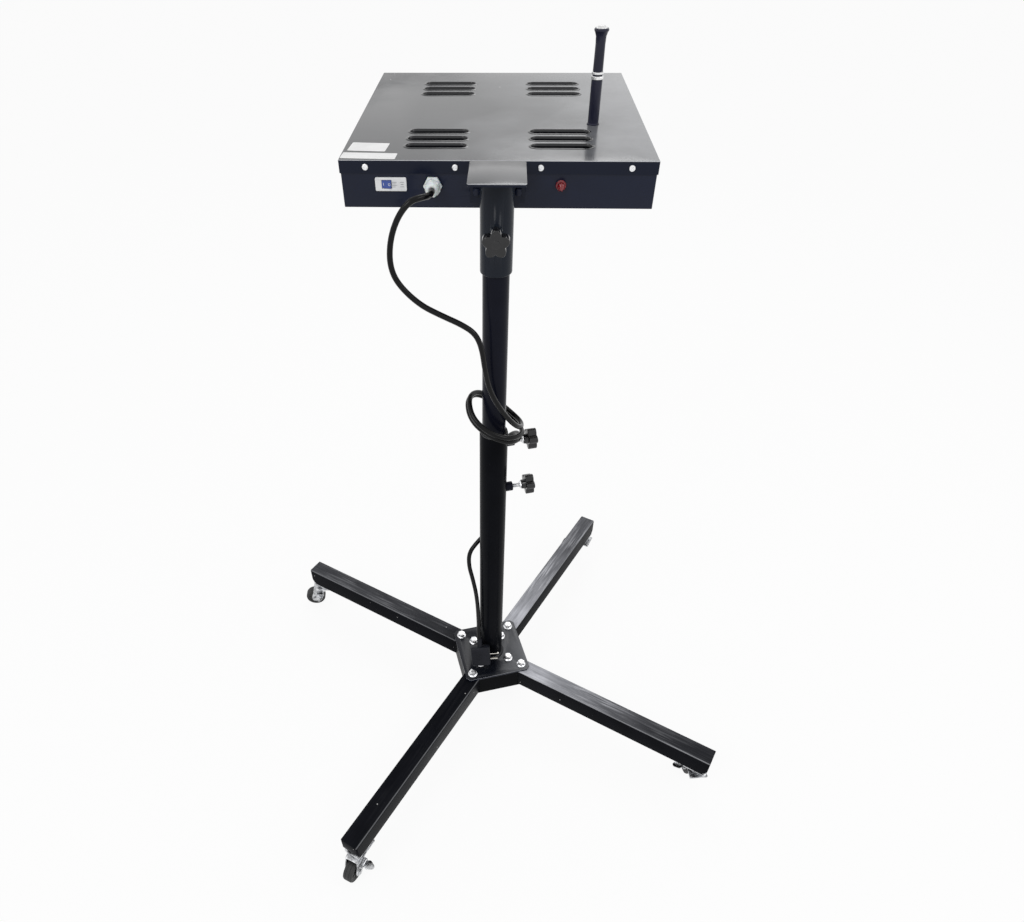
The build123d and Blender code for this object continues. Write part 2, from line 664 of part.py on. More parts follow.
def caster_top():
    p = block(-plate_l / 2, plate_l / 2, -plate_w / 2, plate_w / 2, plate_z0, leg_z0)
    p = fillet(p.edges().filter_by(Axis.Z), plate_round)
    p += cyl(race_d / 2, race_z0, plate_z0)
    p += cyl(pin_d / 2, rivet_z0, race_z0 + cut)
    p += cyl(rivet_d / 2, rivet_z0, rivet_z1)
    return p + cyl(stem_d / 2, leg_z0 - cut, leg_z0 + stem_len)


def caster_fork():
    sheet = Polygon((-crown_tail, -crown_tail_w / 2), (crown_back, -crown_w / 2),
                    (crown_back, crown_w / 2), (-crown_tail, crown_tail_w / 2), align=None)
    crown = Pos(0, 0, crown_z0) * extrude(fillet(sheet.vertices(), crown_corner), crown_t)
    crown -= cyl(pin_d / 2 + pin_gap, crown_z0 - cut, crown_z1 + cut)
    low_z = crown_z0 + cut
    end_x = trail + cheek_end_r
    side = Polygon((-cheek_front, low_z), (crown_back, low_z), (end_x, wheel_r + cheek_end_r / 3),
                   (end_x, wheel_r), (trail - cheek_end_r, wheel_r),
                   (trail - cheek_throat, wheel_r + cheek_end_r), align=None)
    outline = Plane.XZ * (side + Pos(trail, wheel_r) * Circle(cheek_end_r))
    fork = crown
    for y in (fork_in, -fork_out):
        fork += Pos(0, y, 0) * extrude(outline, cheek_t, dir=(0, 1, 0))
    fork += cyl_y(axle_d / 2, -fork_out, fork_out, trail, wheel_r)
    head_y = fork_out + axle_head_t
    fork += cyl_y(axle_head_d / 2, fork_out - cut / 2, head_y, trail, wheel_r)
    fork += cyl_y(axle_head_d / 2, -head_y, cut / 2 - fork_out, trail, wheel_r)
    lug_in = brake_barrel_len / 2 + brake_gap
    lug_out = lug_in + brake_lug_t
    for x0 in (brake_x + lug_in, brake_x - lug_out):
        fork += block(x0, x0 + brake_lug_t, fork_out - cut, brake_y + brake_pin_d / 2 + cut / 2,
                      brake_z - brake_lug_h / 2, brake_z + brake_lug_h / 2)
    return fork + cyl_x(brake_pin_d / 2, brake_x - lug_out, brake_x + lug_out, brake_y, brake_z)


def caster_lever():
    half, wide, tip = brake_barrel_len / 2, brake_w / 2, brake_tip_w / 2
    leaf = Polygon((-half, 0), (-half, brake_neck), (-wide, brake_belly), (-tip, brake_reach),
                   (tip, brake_reach), (wide, brake_belly), (half, brake_neck), (half, 0), align=None)
    lever = Pos(brake_x, brake_y, brake_z + brake_rise) * extrude(leaf, brake_t)
    lever += cyl_x(brake_barrel_d / 2, brake_x - half, brake_x + half, brake_y, brake_z)
    pin_hole = cyl_x(brake_pin_d / 2 + axle_gap, brake_x - half - cut, brake_x + half + cut, brake_y, brake_z)
    return lever - pin_hole


def caster_wheel():
    half = wheel_w / 2
    w = cyl_y(wheel_r, -half, half, trail, wheel_r)
    w = fillet(w.edges().filter_by(GeomType.CIRCLE), wheel_round)
    for y0, y1 in ((half - wheel_dish, half + cut), (-half - cut, wheel_dish - half)):
        dish = cyl_y(wheel_r - wheel_tread, y0, y1, trail, wheel_r)
        w -= dish - cyl_y(axle_head_d / 2, y0, y1, trail, wheel_r)
    return w - cyl_y(axle_d / 2 + axle_gap, -half - cut, half + cut, trail, wheel_r)


top, fork, wheel, lever = caster_top(), caster_fork(), caster_wheel(), caster_lever()
stem_nut_z = leg_z0 + leg_t + stem_nut_gap
stem_nut_z1 = stem_nut_z + stem_nut_h
nut = hexa(stem_nut, stem_nut_z, stem_nut_z1)
nut -= cyl(stem_d / 2 + thread_gap, stem_nut_z - cut, stem_nut_z1 + cut)
stem_nuts = []
for key, ang in leg_angles.items():
    place = Rot(0, 0, ang) * Pos(caster_r, 0, 0)
    turned = place * Rot(0, 0, caster_turn[key])
    save(place * top, "caster_top_" + key)
    save(turned * fork, "caster_fork_" + key)
    save(turned * wheel, "caster_wheel_" + key)
    save(turned * lever, "caster_brake_" + key)
    stem_nuts.append(place * nut)
save(Compound(stem_nuts), "caster_nuts")

# ---- mains cord: a short hanging part to the seam, then twice round the column, down to the plug ----
cord_start = (gland_x, cap_y0, gland_z)
cord_seam = (-131, -25, 1029)
route_a = [cord_start, (gland_x, 6, gland_z), (-104.5, -9, 1165), (-122, -19, 1163), (-141, -21, 1140),
           (-153.5, -21, 1107), (-156.5, -22, 1072), (-146.5, -23, 1044), cord_seam]
route_b = [cord_seam, (-115.5, -27, 1014), (-83, -33, 1000), (-50, -36, 986), (-29.5, -38, 972),
           (-20, -37, 946), (-15, -36, 905), (-7, -38, 868), (14, -39, 829), (37, -28, 794), (49, -5, 775),
           (48, 24, 768), (26, 45, 777), (-4, 50, 801), (-32, 35, 823), (-45, 3, 829), (-37, -30, 810),
           (-7, -47, 790), (27, -43, 776), (51, -10, 763), (49, 23, 756), (29, 48, 764), (-3, 56, 789),
           (-34, 42, 814), (-48, 9, 820), (-40, -24, 801), (-9, -42, 782), (24, -39, 765), (46, -11, 752),
           (44, 25, 745), (23, 46, 717), (13, 48, 672), (8, 47, 617), (5, 46, 562), (3, 43, 515),
           (-11, 34, 482), (-32, 18, 466), (-48, 3, 450), (-48.5, -5, 420), (-40.5, -10, 385),
           (-33.5, -14, 345), (-30, -16, 305), (-28.5, -17, 264), (-28, -17, 241), (-28.5, -16.5, 224),
           (-26.5, -26, 203)]


def tube(points, name):
    pts = [Vector(*p) for p in points]
    runs = [b - a for a, b in zip(pts, pts[1:])]
    turns = [u.get_angle(v) for u, v in zip(runs, runs[1:])]
    radii = [0.45 * min(u.length, v.length) / tan(radians(t) / 2) for u, v, t in zip(runs, runs[1:], turns)]
    path = FilletPolyline(*points, radius=radii)
    section = Plane(origin=pts[0], z_dir=runs[0]) * Circle(cord_d / 2)
    solid = sweep(section, path=path)
    want = pi * cord_d ** 2 / 4 * path.length
    print(name, "length", round(path.length, 1), "volume ratio", round(solid.volume / want, 4))
    print("  largest turn", round(max(turns)), "radii", [round(r) for r in radii])
    print("  runs", [round(r.length) for r in runs])
    save(solid, name)
    return pts[-1], runs[-1].normalized()


tube(route_a, "cord_upper")
relief_top, plug_dir = tube(route_b, "cord_lower")

# ---- moulded right-angle plug over the hub plate, beside the column ----
frame = Plane(origin=relief_top, x_dir=(1, 0, 0), z_dir=plug_dir)
relief = Cone(cord_d / 2 + plug_relief_wall, plug_relief_d / 2, plug_relief_len)
relief = Pos(0, 0, plug_relief_len / 2) * relief
outline = fillet(Rectangle(plug_w, plug_t).vertices(), plug_round)
body = Pos(0, 0, plug_relief_len) * extrude(outline, plug_len)
body = chamfer(body.faces().sort_by(Axis.Z)[0].edges(), plug_shoulder)
save(frame * (relief + body), "plug_body")
blade_mid = plug_relief_len + blade_up
blades = []
for z in (blade_mid - blade_gap / 2, blade_mid + blade_gap / 2):
    blades.append(frame * Pos(plug_w / 2 + blade_len / 2, blade_y, z) * Box(blade_len, blade_w, blade_t))
pin_end = plug_w / 2 + pin_ground_len
blades.append(frame * cyl_x(pin_ground_d / 2, plug_w / 2, pin_end, pin_ground_y, blade_mid))
save(Compound(blades), "plug_blades")
print("plug end", frame.from_local_coords(Vector(0, 0, plug_relief_len + plug_len)))
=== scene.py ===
import bpy
import bmesh
import json
from math import atan2, cos, pi, radians, sin, sqrt
from mathutils import Matrix, Vector


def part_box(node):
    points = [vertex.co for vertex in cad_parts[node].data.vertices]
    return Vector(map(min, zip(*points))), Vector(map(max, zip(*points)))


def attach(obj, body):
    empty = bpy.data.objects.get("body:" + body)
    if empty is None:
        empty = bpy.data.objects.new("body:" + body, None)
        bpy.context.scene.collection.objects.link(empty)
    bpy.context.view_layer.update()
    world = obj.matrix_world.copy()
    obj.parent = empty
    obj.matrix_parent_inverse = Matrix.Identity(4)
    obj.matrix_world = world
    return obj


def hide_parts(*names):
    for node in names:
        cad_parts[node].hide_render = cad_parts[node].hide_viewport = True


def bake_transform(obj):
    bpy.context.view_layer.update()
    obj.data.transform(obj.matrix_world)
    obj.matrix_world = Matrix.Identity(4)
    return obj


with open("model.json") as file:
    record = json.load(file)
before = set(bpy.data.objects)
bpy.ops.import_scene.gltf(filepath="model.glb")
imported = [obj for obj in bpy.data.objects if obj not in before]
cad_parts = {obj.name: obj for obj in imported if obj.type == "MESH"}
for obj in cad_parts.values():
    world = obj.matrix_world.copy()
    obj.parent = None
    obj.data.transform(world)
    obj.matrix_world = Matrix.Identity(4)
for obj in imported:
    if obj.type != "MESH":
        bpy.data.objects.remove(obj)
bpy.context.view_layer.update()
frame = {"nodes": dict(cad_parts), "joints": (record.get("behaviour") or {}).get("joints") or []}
nodes = frame["nodes"]
joints = {joint["name"]: joint for joint in frame["joints"]}
scene = bpy.context.scene
scene.view_settings.view_transform = "Standard"
print("frame loaded:", len(nodes), "nodes")

# one set of turns for the whole stand: the base is turned against the head
stand = {"yaw": 15.8, "legAngles": {"rf": -45, "br": 45, "lb": 135, "fl": 225},
         "forkTurn": {"fl": 5, "rf": 126, "br": 95, "lb": 35}, "casterRadius": 0.5175}


def mm(*pairs):
    # profiles and outlines are written in millimetres and used in metres
    return [(a / 1000, b / 1000) for a, b in pairs]


def shifted(x, y, z):
    return Matrix.Translation((x, y, z))


def spun(angle, axis):
    return Matrix.Rotation(radians(angle), 4, axis)


def basis(*axes):
    # a turn whose own x, y and z run along the axes given
    return Matrix(axes).transposed().to_4x4()


def placed(name, data):
    obj = bpy.data.objects.new(name, data)
    scene.collection.objects.link(obj)
    return obj


camera = {"place": (0.01136, -1.07035, 1.5340), "yaw": -2.61, "down": 43.98, "roll": -0.58,
          "lens": 25.77, "sensor": 36, "shift": (0.0372, 0.0738), "clip": (0.05, 50)}


def makeCamera():
    yaw, down, roll = (radians(camera[k]) for k in ("yaw", "down", "roll"))
    ahead = Vector((sin(yaw) * cos(down), cos(yaw) * cos(down), -sin(down)))
    side = Vector((cos(yaw), -sin(yaw), 0))
    up = side.cross(ahead)
    data = bpy.data.cameras.new("viewCamera")
    data.lens, data.sensor_width = camera["lens"], camera["sensor"]
    data.shift_x, data.shift_y = camera["shift"]
    data.clip_start, data.clip_end = camera["clip"]
    turned = basis(side * cos(roll) + up * sin(roll), up * cos(roll) - side * sin(roll), -ahead)
    scene.camera = placed("viewCamera", data)
    scene.camera.matrix_world = shifted(*camera["place"]) @ turned


makeCamera()
print("camera placed")


def newGroup(name, inputs, outputs):
    group = bpy.data.node_groups.new(name, "ShaderNodeTree")
    for label, value in inputs.items():
        kind = "NodeSocketFloat" if isinstance(value, float) else "NodeSocketColor"
        group.interface.new_socket(name=label, in_out="INPUT", socket_type=kind).default_value = value
    for label, kind in outputs.items():
        group.interface.new_socket(name=label, in_out="OUTPUT", socket_type="NodeSocket" + kind)
    return group, group.nodes.new("NodeGroupInput").outputs, group.nodes.new("NodeGroupOutput").inputs


def link(tree, source, target):
    # the source is another node's output, or a plain value for the target
    if isinstance(source, (int, float, tuple)):
        target.default_value = source
    else:
        tree.links.new(source, target)


def addNode(tree, kind, **settings):
    node = tree.nodes.new(kind)
    for key, value in settings.items():
        if key in node.inputs:
            link(tree, value, node.inputs[key])
        else:
            setattr(node, key, value)
    return node


def mathNode(tree, operation, a, b, clamp=False):
    node = addNode(tree, "ShaderNodeMath", operation=operation, use_clamp=clamp)
    link(tree, a, node.inputs[0])
    link(tree, b, node.inputs[1])
    return node.outputs[0]


def times(tree, a, b, clamp=False):
    return mathNode(tree, "MULTIPLY", a, b, clamp)


def remap(tree, value, fromLow, fromHigh, toLow=0.0, toHigh=1.0):
    node = addNode(tree, "ShaderNodeMapRange", Value=value)
    for key, number in (("From Min", fromLow), ("From Max", fromHigh), ("To Min", toLow), ("To Max", toHigh)):
        link(tree, number, node.inputs[key])
    return node.outputs["Result"]


def mixed(tree, factor, a, b):
    node = addNode(tree, "ShaderNodeMix", data_type="RGBA", Factor=factor)
    link(tree, a, node.inputs[6])
    link(tree, b, node.inputs[7])
    return node.outputs[2]


def objectPlace(tree):
    return addNode(tree, "ShaderNodeTexCoord").outputs["Object"]


def turnedPlace(group, given):
    # places turned so that x runs along the leg
    node = addNode(group, "ShaderNodeVectorRotate", rotation_type="Z_AXIS", Vector=objectPlace(group))
    link(group, given["Turn"], node.inputs["Angle"])
    return node.outputs["Vector"]


def stretched(group, place, across):
    return addNode(group, "ShaderNodeMapping", Vector=place, Scale=(1.0, across, 1.0)).outputs["Vector"]


def noise(tree, place, scale, detail, roughness=0.5):
    return addNode(tree, "ShaderNodeTexNoise", Vector=place, Scale=scale, Detail=detail,
                   Roughness=roughness).outputs["Fac"]


def split(tree, place):
    return addNode(tree, "ShaderNodeSeparateXYZ", Vector=place).outputs


def upperFace(group, parts, given, depth):
    # 1 on the upper face and 0 just below it
    return remap(group, parts["Z"], mathNode(group, "SUBTRACT", given["Top"], depth), given["Top"])


skinSockets = {"Color": "Color", "Roughness": "Float", "Normal": "Vector"}


def makeSkin(group, given, out, cloud, spread, grain, height, distance):
    # tint and gloss follow the cloud, the fine relief follows the grain
    link(group, mixed(group, remap(group, cloud, *spread), given["Tint Low"], given["Tint High"]), out["Color"])
    link(group, remap(group, cloud, 0.3, 0.7, given["Gloss Low"], given["Gloss High"]), out["Roughness"])
    bump = addNode(group, "ShaderNodeBump", Height=grain, Strength=height, Distance=distance)
    link(group, bump.outputs["Normal"], out["Normal"])
    return group


def makeSurfaceGroup():
    # coat: uneven gloss, fine orange peel and a slow tint over the surface
    group, given, out = newGroup("coatSurface", {
        "Tint Low": (0, 0, 0, 1), "Tint High": (0.1, 0.1, 0.1, 1), "Gloss Low": 0.2, "Gloss High": 0.3,
        "Patch Scale": 8.0, "Grain Scale": 900.0, "Grain Height": 0.1}, skinSockets)
    place = objectPlace(group)
    patches = noise(group, place, given["Patch Scale"], 5.0, 0.6)
    grain = noise(group, place, given["Grain Scale"], 3.0)
    return makeSkin(group, given, out, patches, (0.3, 0.7), grain, given["Grain Height"], 0.0004)


def makeBrushGroup():
    # metal: light and dark cloudiness with a fine grain for plated and drawn steel
    group, given, out = newGroup("platedMetal", {
        "Tint Low": (0.5, 0.5, 0.5, 1), "Tint High": (0.8, 0.8, 0.8, 1), "Gloss Low": 0.2, "Gloss High": 0.4,
        "Scale": 60.0}, skinSockets)
    place = objectPlace(group)
    cloud = noise(group, place, given["Scale"], 6.0, 0.7)
    return makeSkin(group, given, out, cloud, (0.35, 0.65), noise(group, place, 700.0, 2.0), 0.12, 0.0003)


def makeStreakGroup():
    # painted reflection: pale streaks drawn out along one direction, broken into patches, laid over the legs' painted
    # sheen
    group, given, out = newGroup("rubStreaks", {"Turn": 0.0, "Amount": 0.5, "Scale": 9.0}, {"Mask": "Float"})
    place = turnedPlace(group, given)
    lines = noise(group, stretched(group, place, 26.0), given["Scale"], 6.0, 0.65)
    wide = remap(group, noise(group, place, 7.0, 3.0), 0.38, 0.62)
    both = times(group, remap(group, lines, 0.47, 0.68), wide, True)
    link(group, times(group, both, given["Amount"], True), out["Mask"])
    return group


def makeSpeckGroup():
    # dust: small sparse pale specks
    group, given, out = newGroup("dustSpecks", {"Scale": 60.0, "Size": 0.06, "Amount": 1.0}, {"Mask": "Float"})
    cells = addNode(group, "ShaderNodeTexVoronoi", Vector=objectPlace(group), Scale=given["Scale"], Randomness=1.0)
    chosen = addNode(group, "ShaderNodeSeparateColor", Color=cells.outputs["Color"])
    few = mathNode(group, "GREATER_THAN", chosen.outputs["Red"], 0.86)
    near = mathNode(group, "LESS_THAN", cells.outputs["Distance"], given["Size"])
    link(group, times(group, times(group, few, near), given["Amount"], True), out["Mask"])
    return group


# painted sheen on the legs' upper faces, standing in for reflected light: the fade along a leg, the depth and half
# width of the face and the width of its painted edge highlight, and for each leg the strength at the hub and at the
# end, the side of the painted edge highlight and its strength
legSheen = {"start": 0.11, "end": 0.60, "fall": 3.3, "depth": 0.0016, "half": 0.020, "rim": 0.0034,
        "legs": {"rf": (0.95, 0.03, -1, 0.50), "br": (1.05, 0.18, -1, 0.45), "lb": (0.05, 0.09, 1, 0.34),
                 "fl": (0.0, 0.004, 1, 0.32)},
        # colours of the painted sheen, of the painted reflection streaks and of the painted edge highlight
        "tint": (0.60, 0.61, 0.66), "streakGain": 2.6, "streakReflectionTint": (0.86, 0.87, 0.92),
        "edgeHighlightTint": (0.60, 0.61, 0.64)}
# sheets: the depth of the upper face, the place of the duller corner (y - x), the gloss level outside and inside
# it, the share of it on the sides, and the colours of the painted shade on the sides, the painted highlight on the rim
# and the painted sheen
sheet = {"depth": 0.0008, "dullCorner": (0.54, 0.72), "gloss": (0.5, 0.10), "sideGloss": 0.32,
         "sideShade": (0.006, 0.009, 0.022), "rim": 7.0, "rimHighlight": (0.50, 0.51, 0.54), "sheen": (0.40, 0.41, 0.43)}
dustTint = (0.5, 0.5, 0.5)


def makeLegSheenGroup():
    # painted sheen: a paler upper face of a leg standing in for reflected light, strongest at the hub and fading
    # towards the end, with a painted highlight along one edge
    group, given, out = newGroup("topHaze", {
        "Turn": 0.0, "Near": 0.5, "Far": 0.1, "Top": 0.12, "Side": 1.0, "Edge": 0.3},
        {"Mask": "Float", "Edge": "Float"})
    place = turnedPlace(group, given)
    parts = split(group, place)
    along = remap(group, parts["X"], legSheen["start"], legSheen["end"], 1.0, 0.0)
    level = remap(group, mathNode(group, "POWER", along, legSheen["fall"], True), 0.0, 1.0, given["Far"], given["Near"])
    cloud = noise(group, stretched(group, place, 9.0), 13.0, 5.0, 0.6)
    uneven = times(group, level, remap(group, cloud, 0.3, 0.7, 0.62, 1.30))
    upper = upperFace(group, parts, given, legSheen["depth"])
    link(group, times(group, uneven, upper, True), out["Mask"])
    # painted highlight: a pale band along one upper edge of the leg
    rim = remap(group, times(group, parts["Y"], given["Side"]), legSheen["half"] - legSheen["rim"],
                legSheen["half"] - legSheen["rim"] / 2)
    bright = times(group, given["Edge"], remap(group, cloud, 0.3, 0.7, 0.75, 1.25))
    link(group, times(group, times(group, rim, upper), bright, True), out["Edge"])
    return group


def makeDriftGroup():
    # painted sheen: a paler part of a sheet's upper face, growing unevenly towards +x, standing in for reflected light
    group, given, out = newGroup("sheenDrift", {
        "From": 0.0, "To": 0.1, "Low": 0.0, "High": 0.5, "Wander": 0.2, "Top": 0.0},
        {"Mask": "Float", "Upper": "Float", "Dull": "Float"})
    place = objectPlace(group)
    parts = split(group, place)
    cloud = noise(group, place, 5.0, 4.0, 0.55)
    shift = times(group, mathNode(group, "SUBTRACT", cloud, 0.5), given["Wander"])
    across = mathNode(group, "ADD", parts["X"], shift)
    spread = remap(group, across, given["From"], given["To"], given["Low"], given["High"])
    upper = upperFace(group, parts, given, sheet["depth"])
    link(group, upper, out["Upper"])
    link(group, times(group, spread, upper, True), out["Mask"])
    corner = mathNode(group, "ADD", mathNode(group, "SUBTRACT", parts["Y"], parts["X"]), shift)
    link(group, remap(group, corner, *sheet["dullCorner"]), out["Dull"])
    return group


groups = {"surface": makeSurfaceGroup(), "legSheen": makeLegSheenGroup(), "drift": makeDriftGroup(),
          "streak": makeStreakGroup(), "speck": makeSpeckGroup(), "brush": makeBrushGroup()}


def setSockets(node, values):
    for key, value in values.items():
        node.inputs[key.replace("_", " ")].default_value = value


def useGroup(tree, group, **values):
    node = addNode(tree, "ShaderNodeGroup", node_tree=groups[group])
    setSockets(node, values)
    return node.outputs


def newMaterial(name, **sockets):
    mat = bpy.data.materials.new(name)
    mat.use_nodes = True
    shader = mat.node_tree.nodes["Principled BSDF"]
    setSockets(shader, sockets)
    return mat, mat.node_tree, shader


def skinned(name, group, low, high, glossLow, glossHigh, scales, sockets):
    mat, tree, shader = newMaterial(name, **sockets)
    skin = useGroup(tree, group, Tint_Low=(*low, 1), Tint_High=(*high, 1), Gloss_Low=glossLow, Gloss_High=glossHigh,
                    **scales)
    for given, taken in (("Color", "Base Color"), ("Roughness", "Roughness"), ("Normal", "Normal")):
        link(tree, skin[given], shader.inputs[taken])
    return mat, tree, shader, skin["Color"]


def coated(name, low, high, glossLow, glossHigh, patch=8.0, grain=900.0, height=0.1, **sockets):
    scales = {"Patch_Scale": patch, "Grain_Scale": grain, "Grain_Height": height}
    return skinned(name, "surface", low, high, glossLow, glossHigh, scales, sockets)


def plain(*look, **sockets):
    return coated(*look, **sockets)[0]


def plated(name, low, high, glossLow, glossHigh):
    return skinned(name, "brush", low, high, glossLow, glossHigh, {"Scale": 60.0}, {"Metallic": 1.0})[0]


def overlay(tree, shader, base, mask, color):
    made = mixed(tree, mask, base, (*color, 1))
    link(tree, made, shader.inputs["Base Color"])
    return made


def legPaint(key):
    turn = radians(-stand["yaw"] - stand["legAngles"][key])
    mat, tree, shader, base = coated("legPaint_" + key, (0.003, 0.0035, 0.0052), (0.007, 0.0075, 0.0105), 0.20, 0.36,
                                     14.0, 700.0, 0.14, IOR=1.07)
    # painted sheen on the upper face, fading from the hub, with painted reflection streaks and a painted highlight
    # along one edge; the specks are dust
    near, far, side, edge = legSheen["legs"][key]
    sheenMasks = useGroup(tree, "legSheen", Turn=turn, Near=near, Far=far, Top=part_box("leg_" + key)[1].z, Side=side, Edge=edge)
    streakSheen = useGroup(tree, "streak", Turn=turn, Amount=1.0, Scale=11.0)
    dust = useGroup(tree, "speck", Scale=55.0, Size=0.07)
    streaks = times(tree, streakSheen["Mask"], times(tree, sheenMasks["Mask"], legSheen["streakGain"], True))
    for mask, tint in ((sheenMasks["Mask"], legSheen["tint"]), (streaks, legSheen["streakReflectionTint"]), (sheenMasks["Edge"], legSheen["edgeHighlightTint"]),
                       (dust["Mask"], dustTint)):
        base = overlay(tree, shader, base, mask, tint)
    return mat


def sheetPaint(name, low, high, glossLow, glossHigh, sheen, node="", dull=False, **sockets):
    # painted sheet with sparse dust and a painted sheen on a paler part; sheen is (from, to, low, high, wander)
    # with a node given, the look belongs to its upper face, its sides get painted shade and its rim a painted
    # highlight
    mat, tree, shader, base = coated(name, low, high, glossLow, glossHigh, 5.0, 650.0, 0.12, **sockets)
    drift = useGroup(tree, "drift", From=sheen[0], To=sheen[1], Low=sheen[2], High=sheen[3], Wander=sheen[4],
                     Top=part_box(node)[1].z if node else 0.0)
    upper = drift["Upper"]
    dust = useGroup(tree, "speck", Scale=34.0, Size=0.045)
    layers = [(drift["Mask"], sheet["sheen"]), (dust["Mask"], dustTint)]
    if node:
        # painted shade on the sides, and a painted highlight where the upper face meets them
        skirt = mathNode(tree, "SUBTRACT", 1.0, upper)
        rim = times(tree, times(tree, upper, skirt), sheet["rim"], True)
        layers = [(skirt, sheet["sideShade"]), *layers, (rim, sheet["rimHighlight"])]
        bright, weak = sheet["gloss"]
        level = remap(tree, drift["Dull"], 0.0, 1.0, bright, weak if dull else bright)
        link(tree, times(tree, level, remap(tree, upper, 0.0, 1.0, sheet["sideGloss"])),
             shader.inputs["Specular IOR Level"])
    for mask, tint in layers:
        base = overlay(tree, shader, base, mask, tint)
    return mat


def boardPaint():
    # ceramic fibre; its upper face inside the head is painted near black as painted shade
    mat, tree, shader, base = coated("fibreBoard", (0.55, 0.53, 0.48), (0.72, 0.70, 0.65), 0.85, 0.95, 25.0, 500.0,
                                     1.0, IOR=1.2)
    place = useGroup(tree, "drift", Top=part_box("heater_board")[1].z)
    overlay(tree, shader, base, place["Upper"], (0.003, 0.003, 0.0034))
    return mat


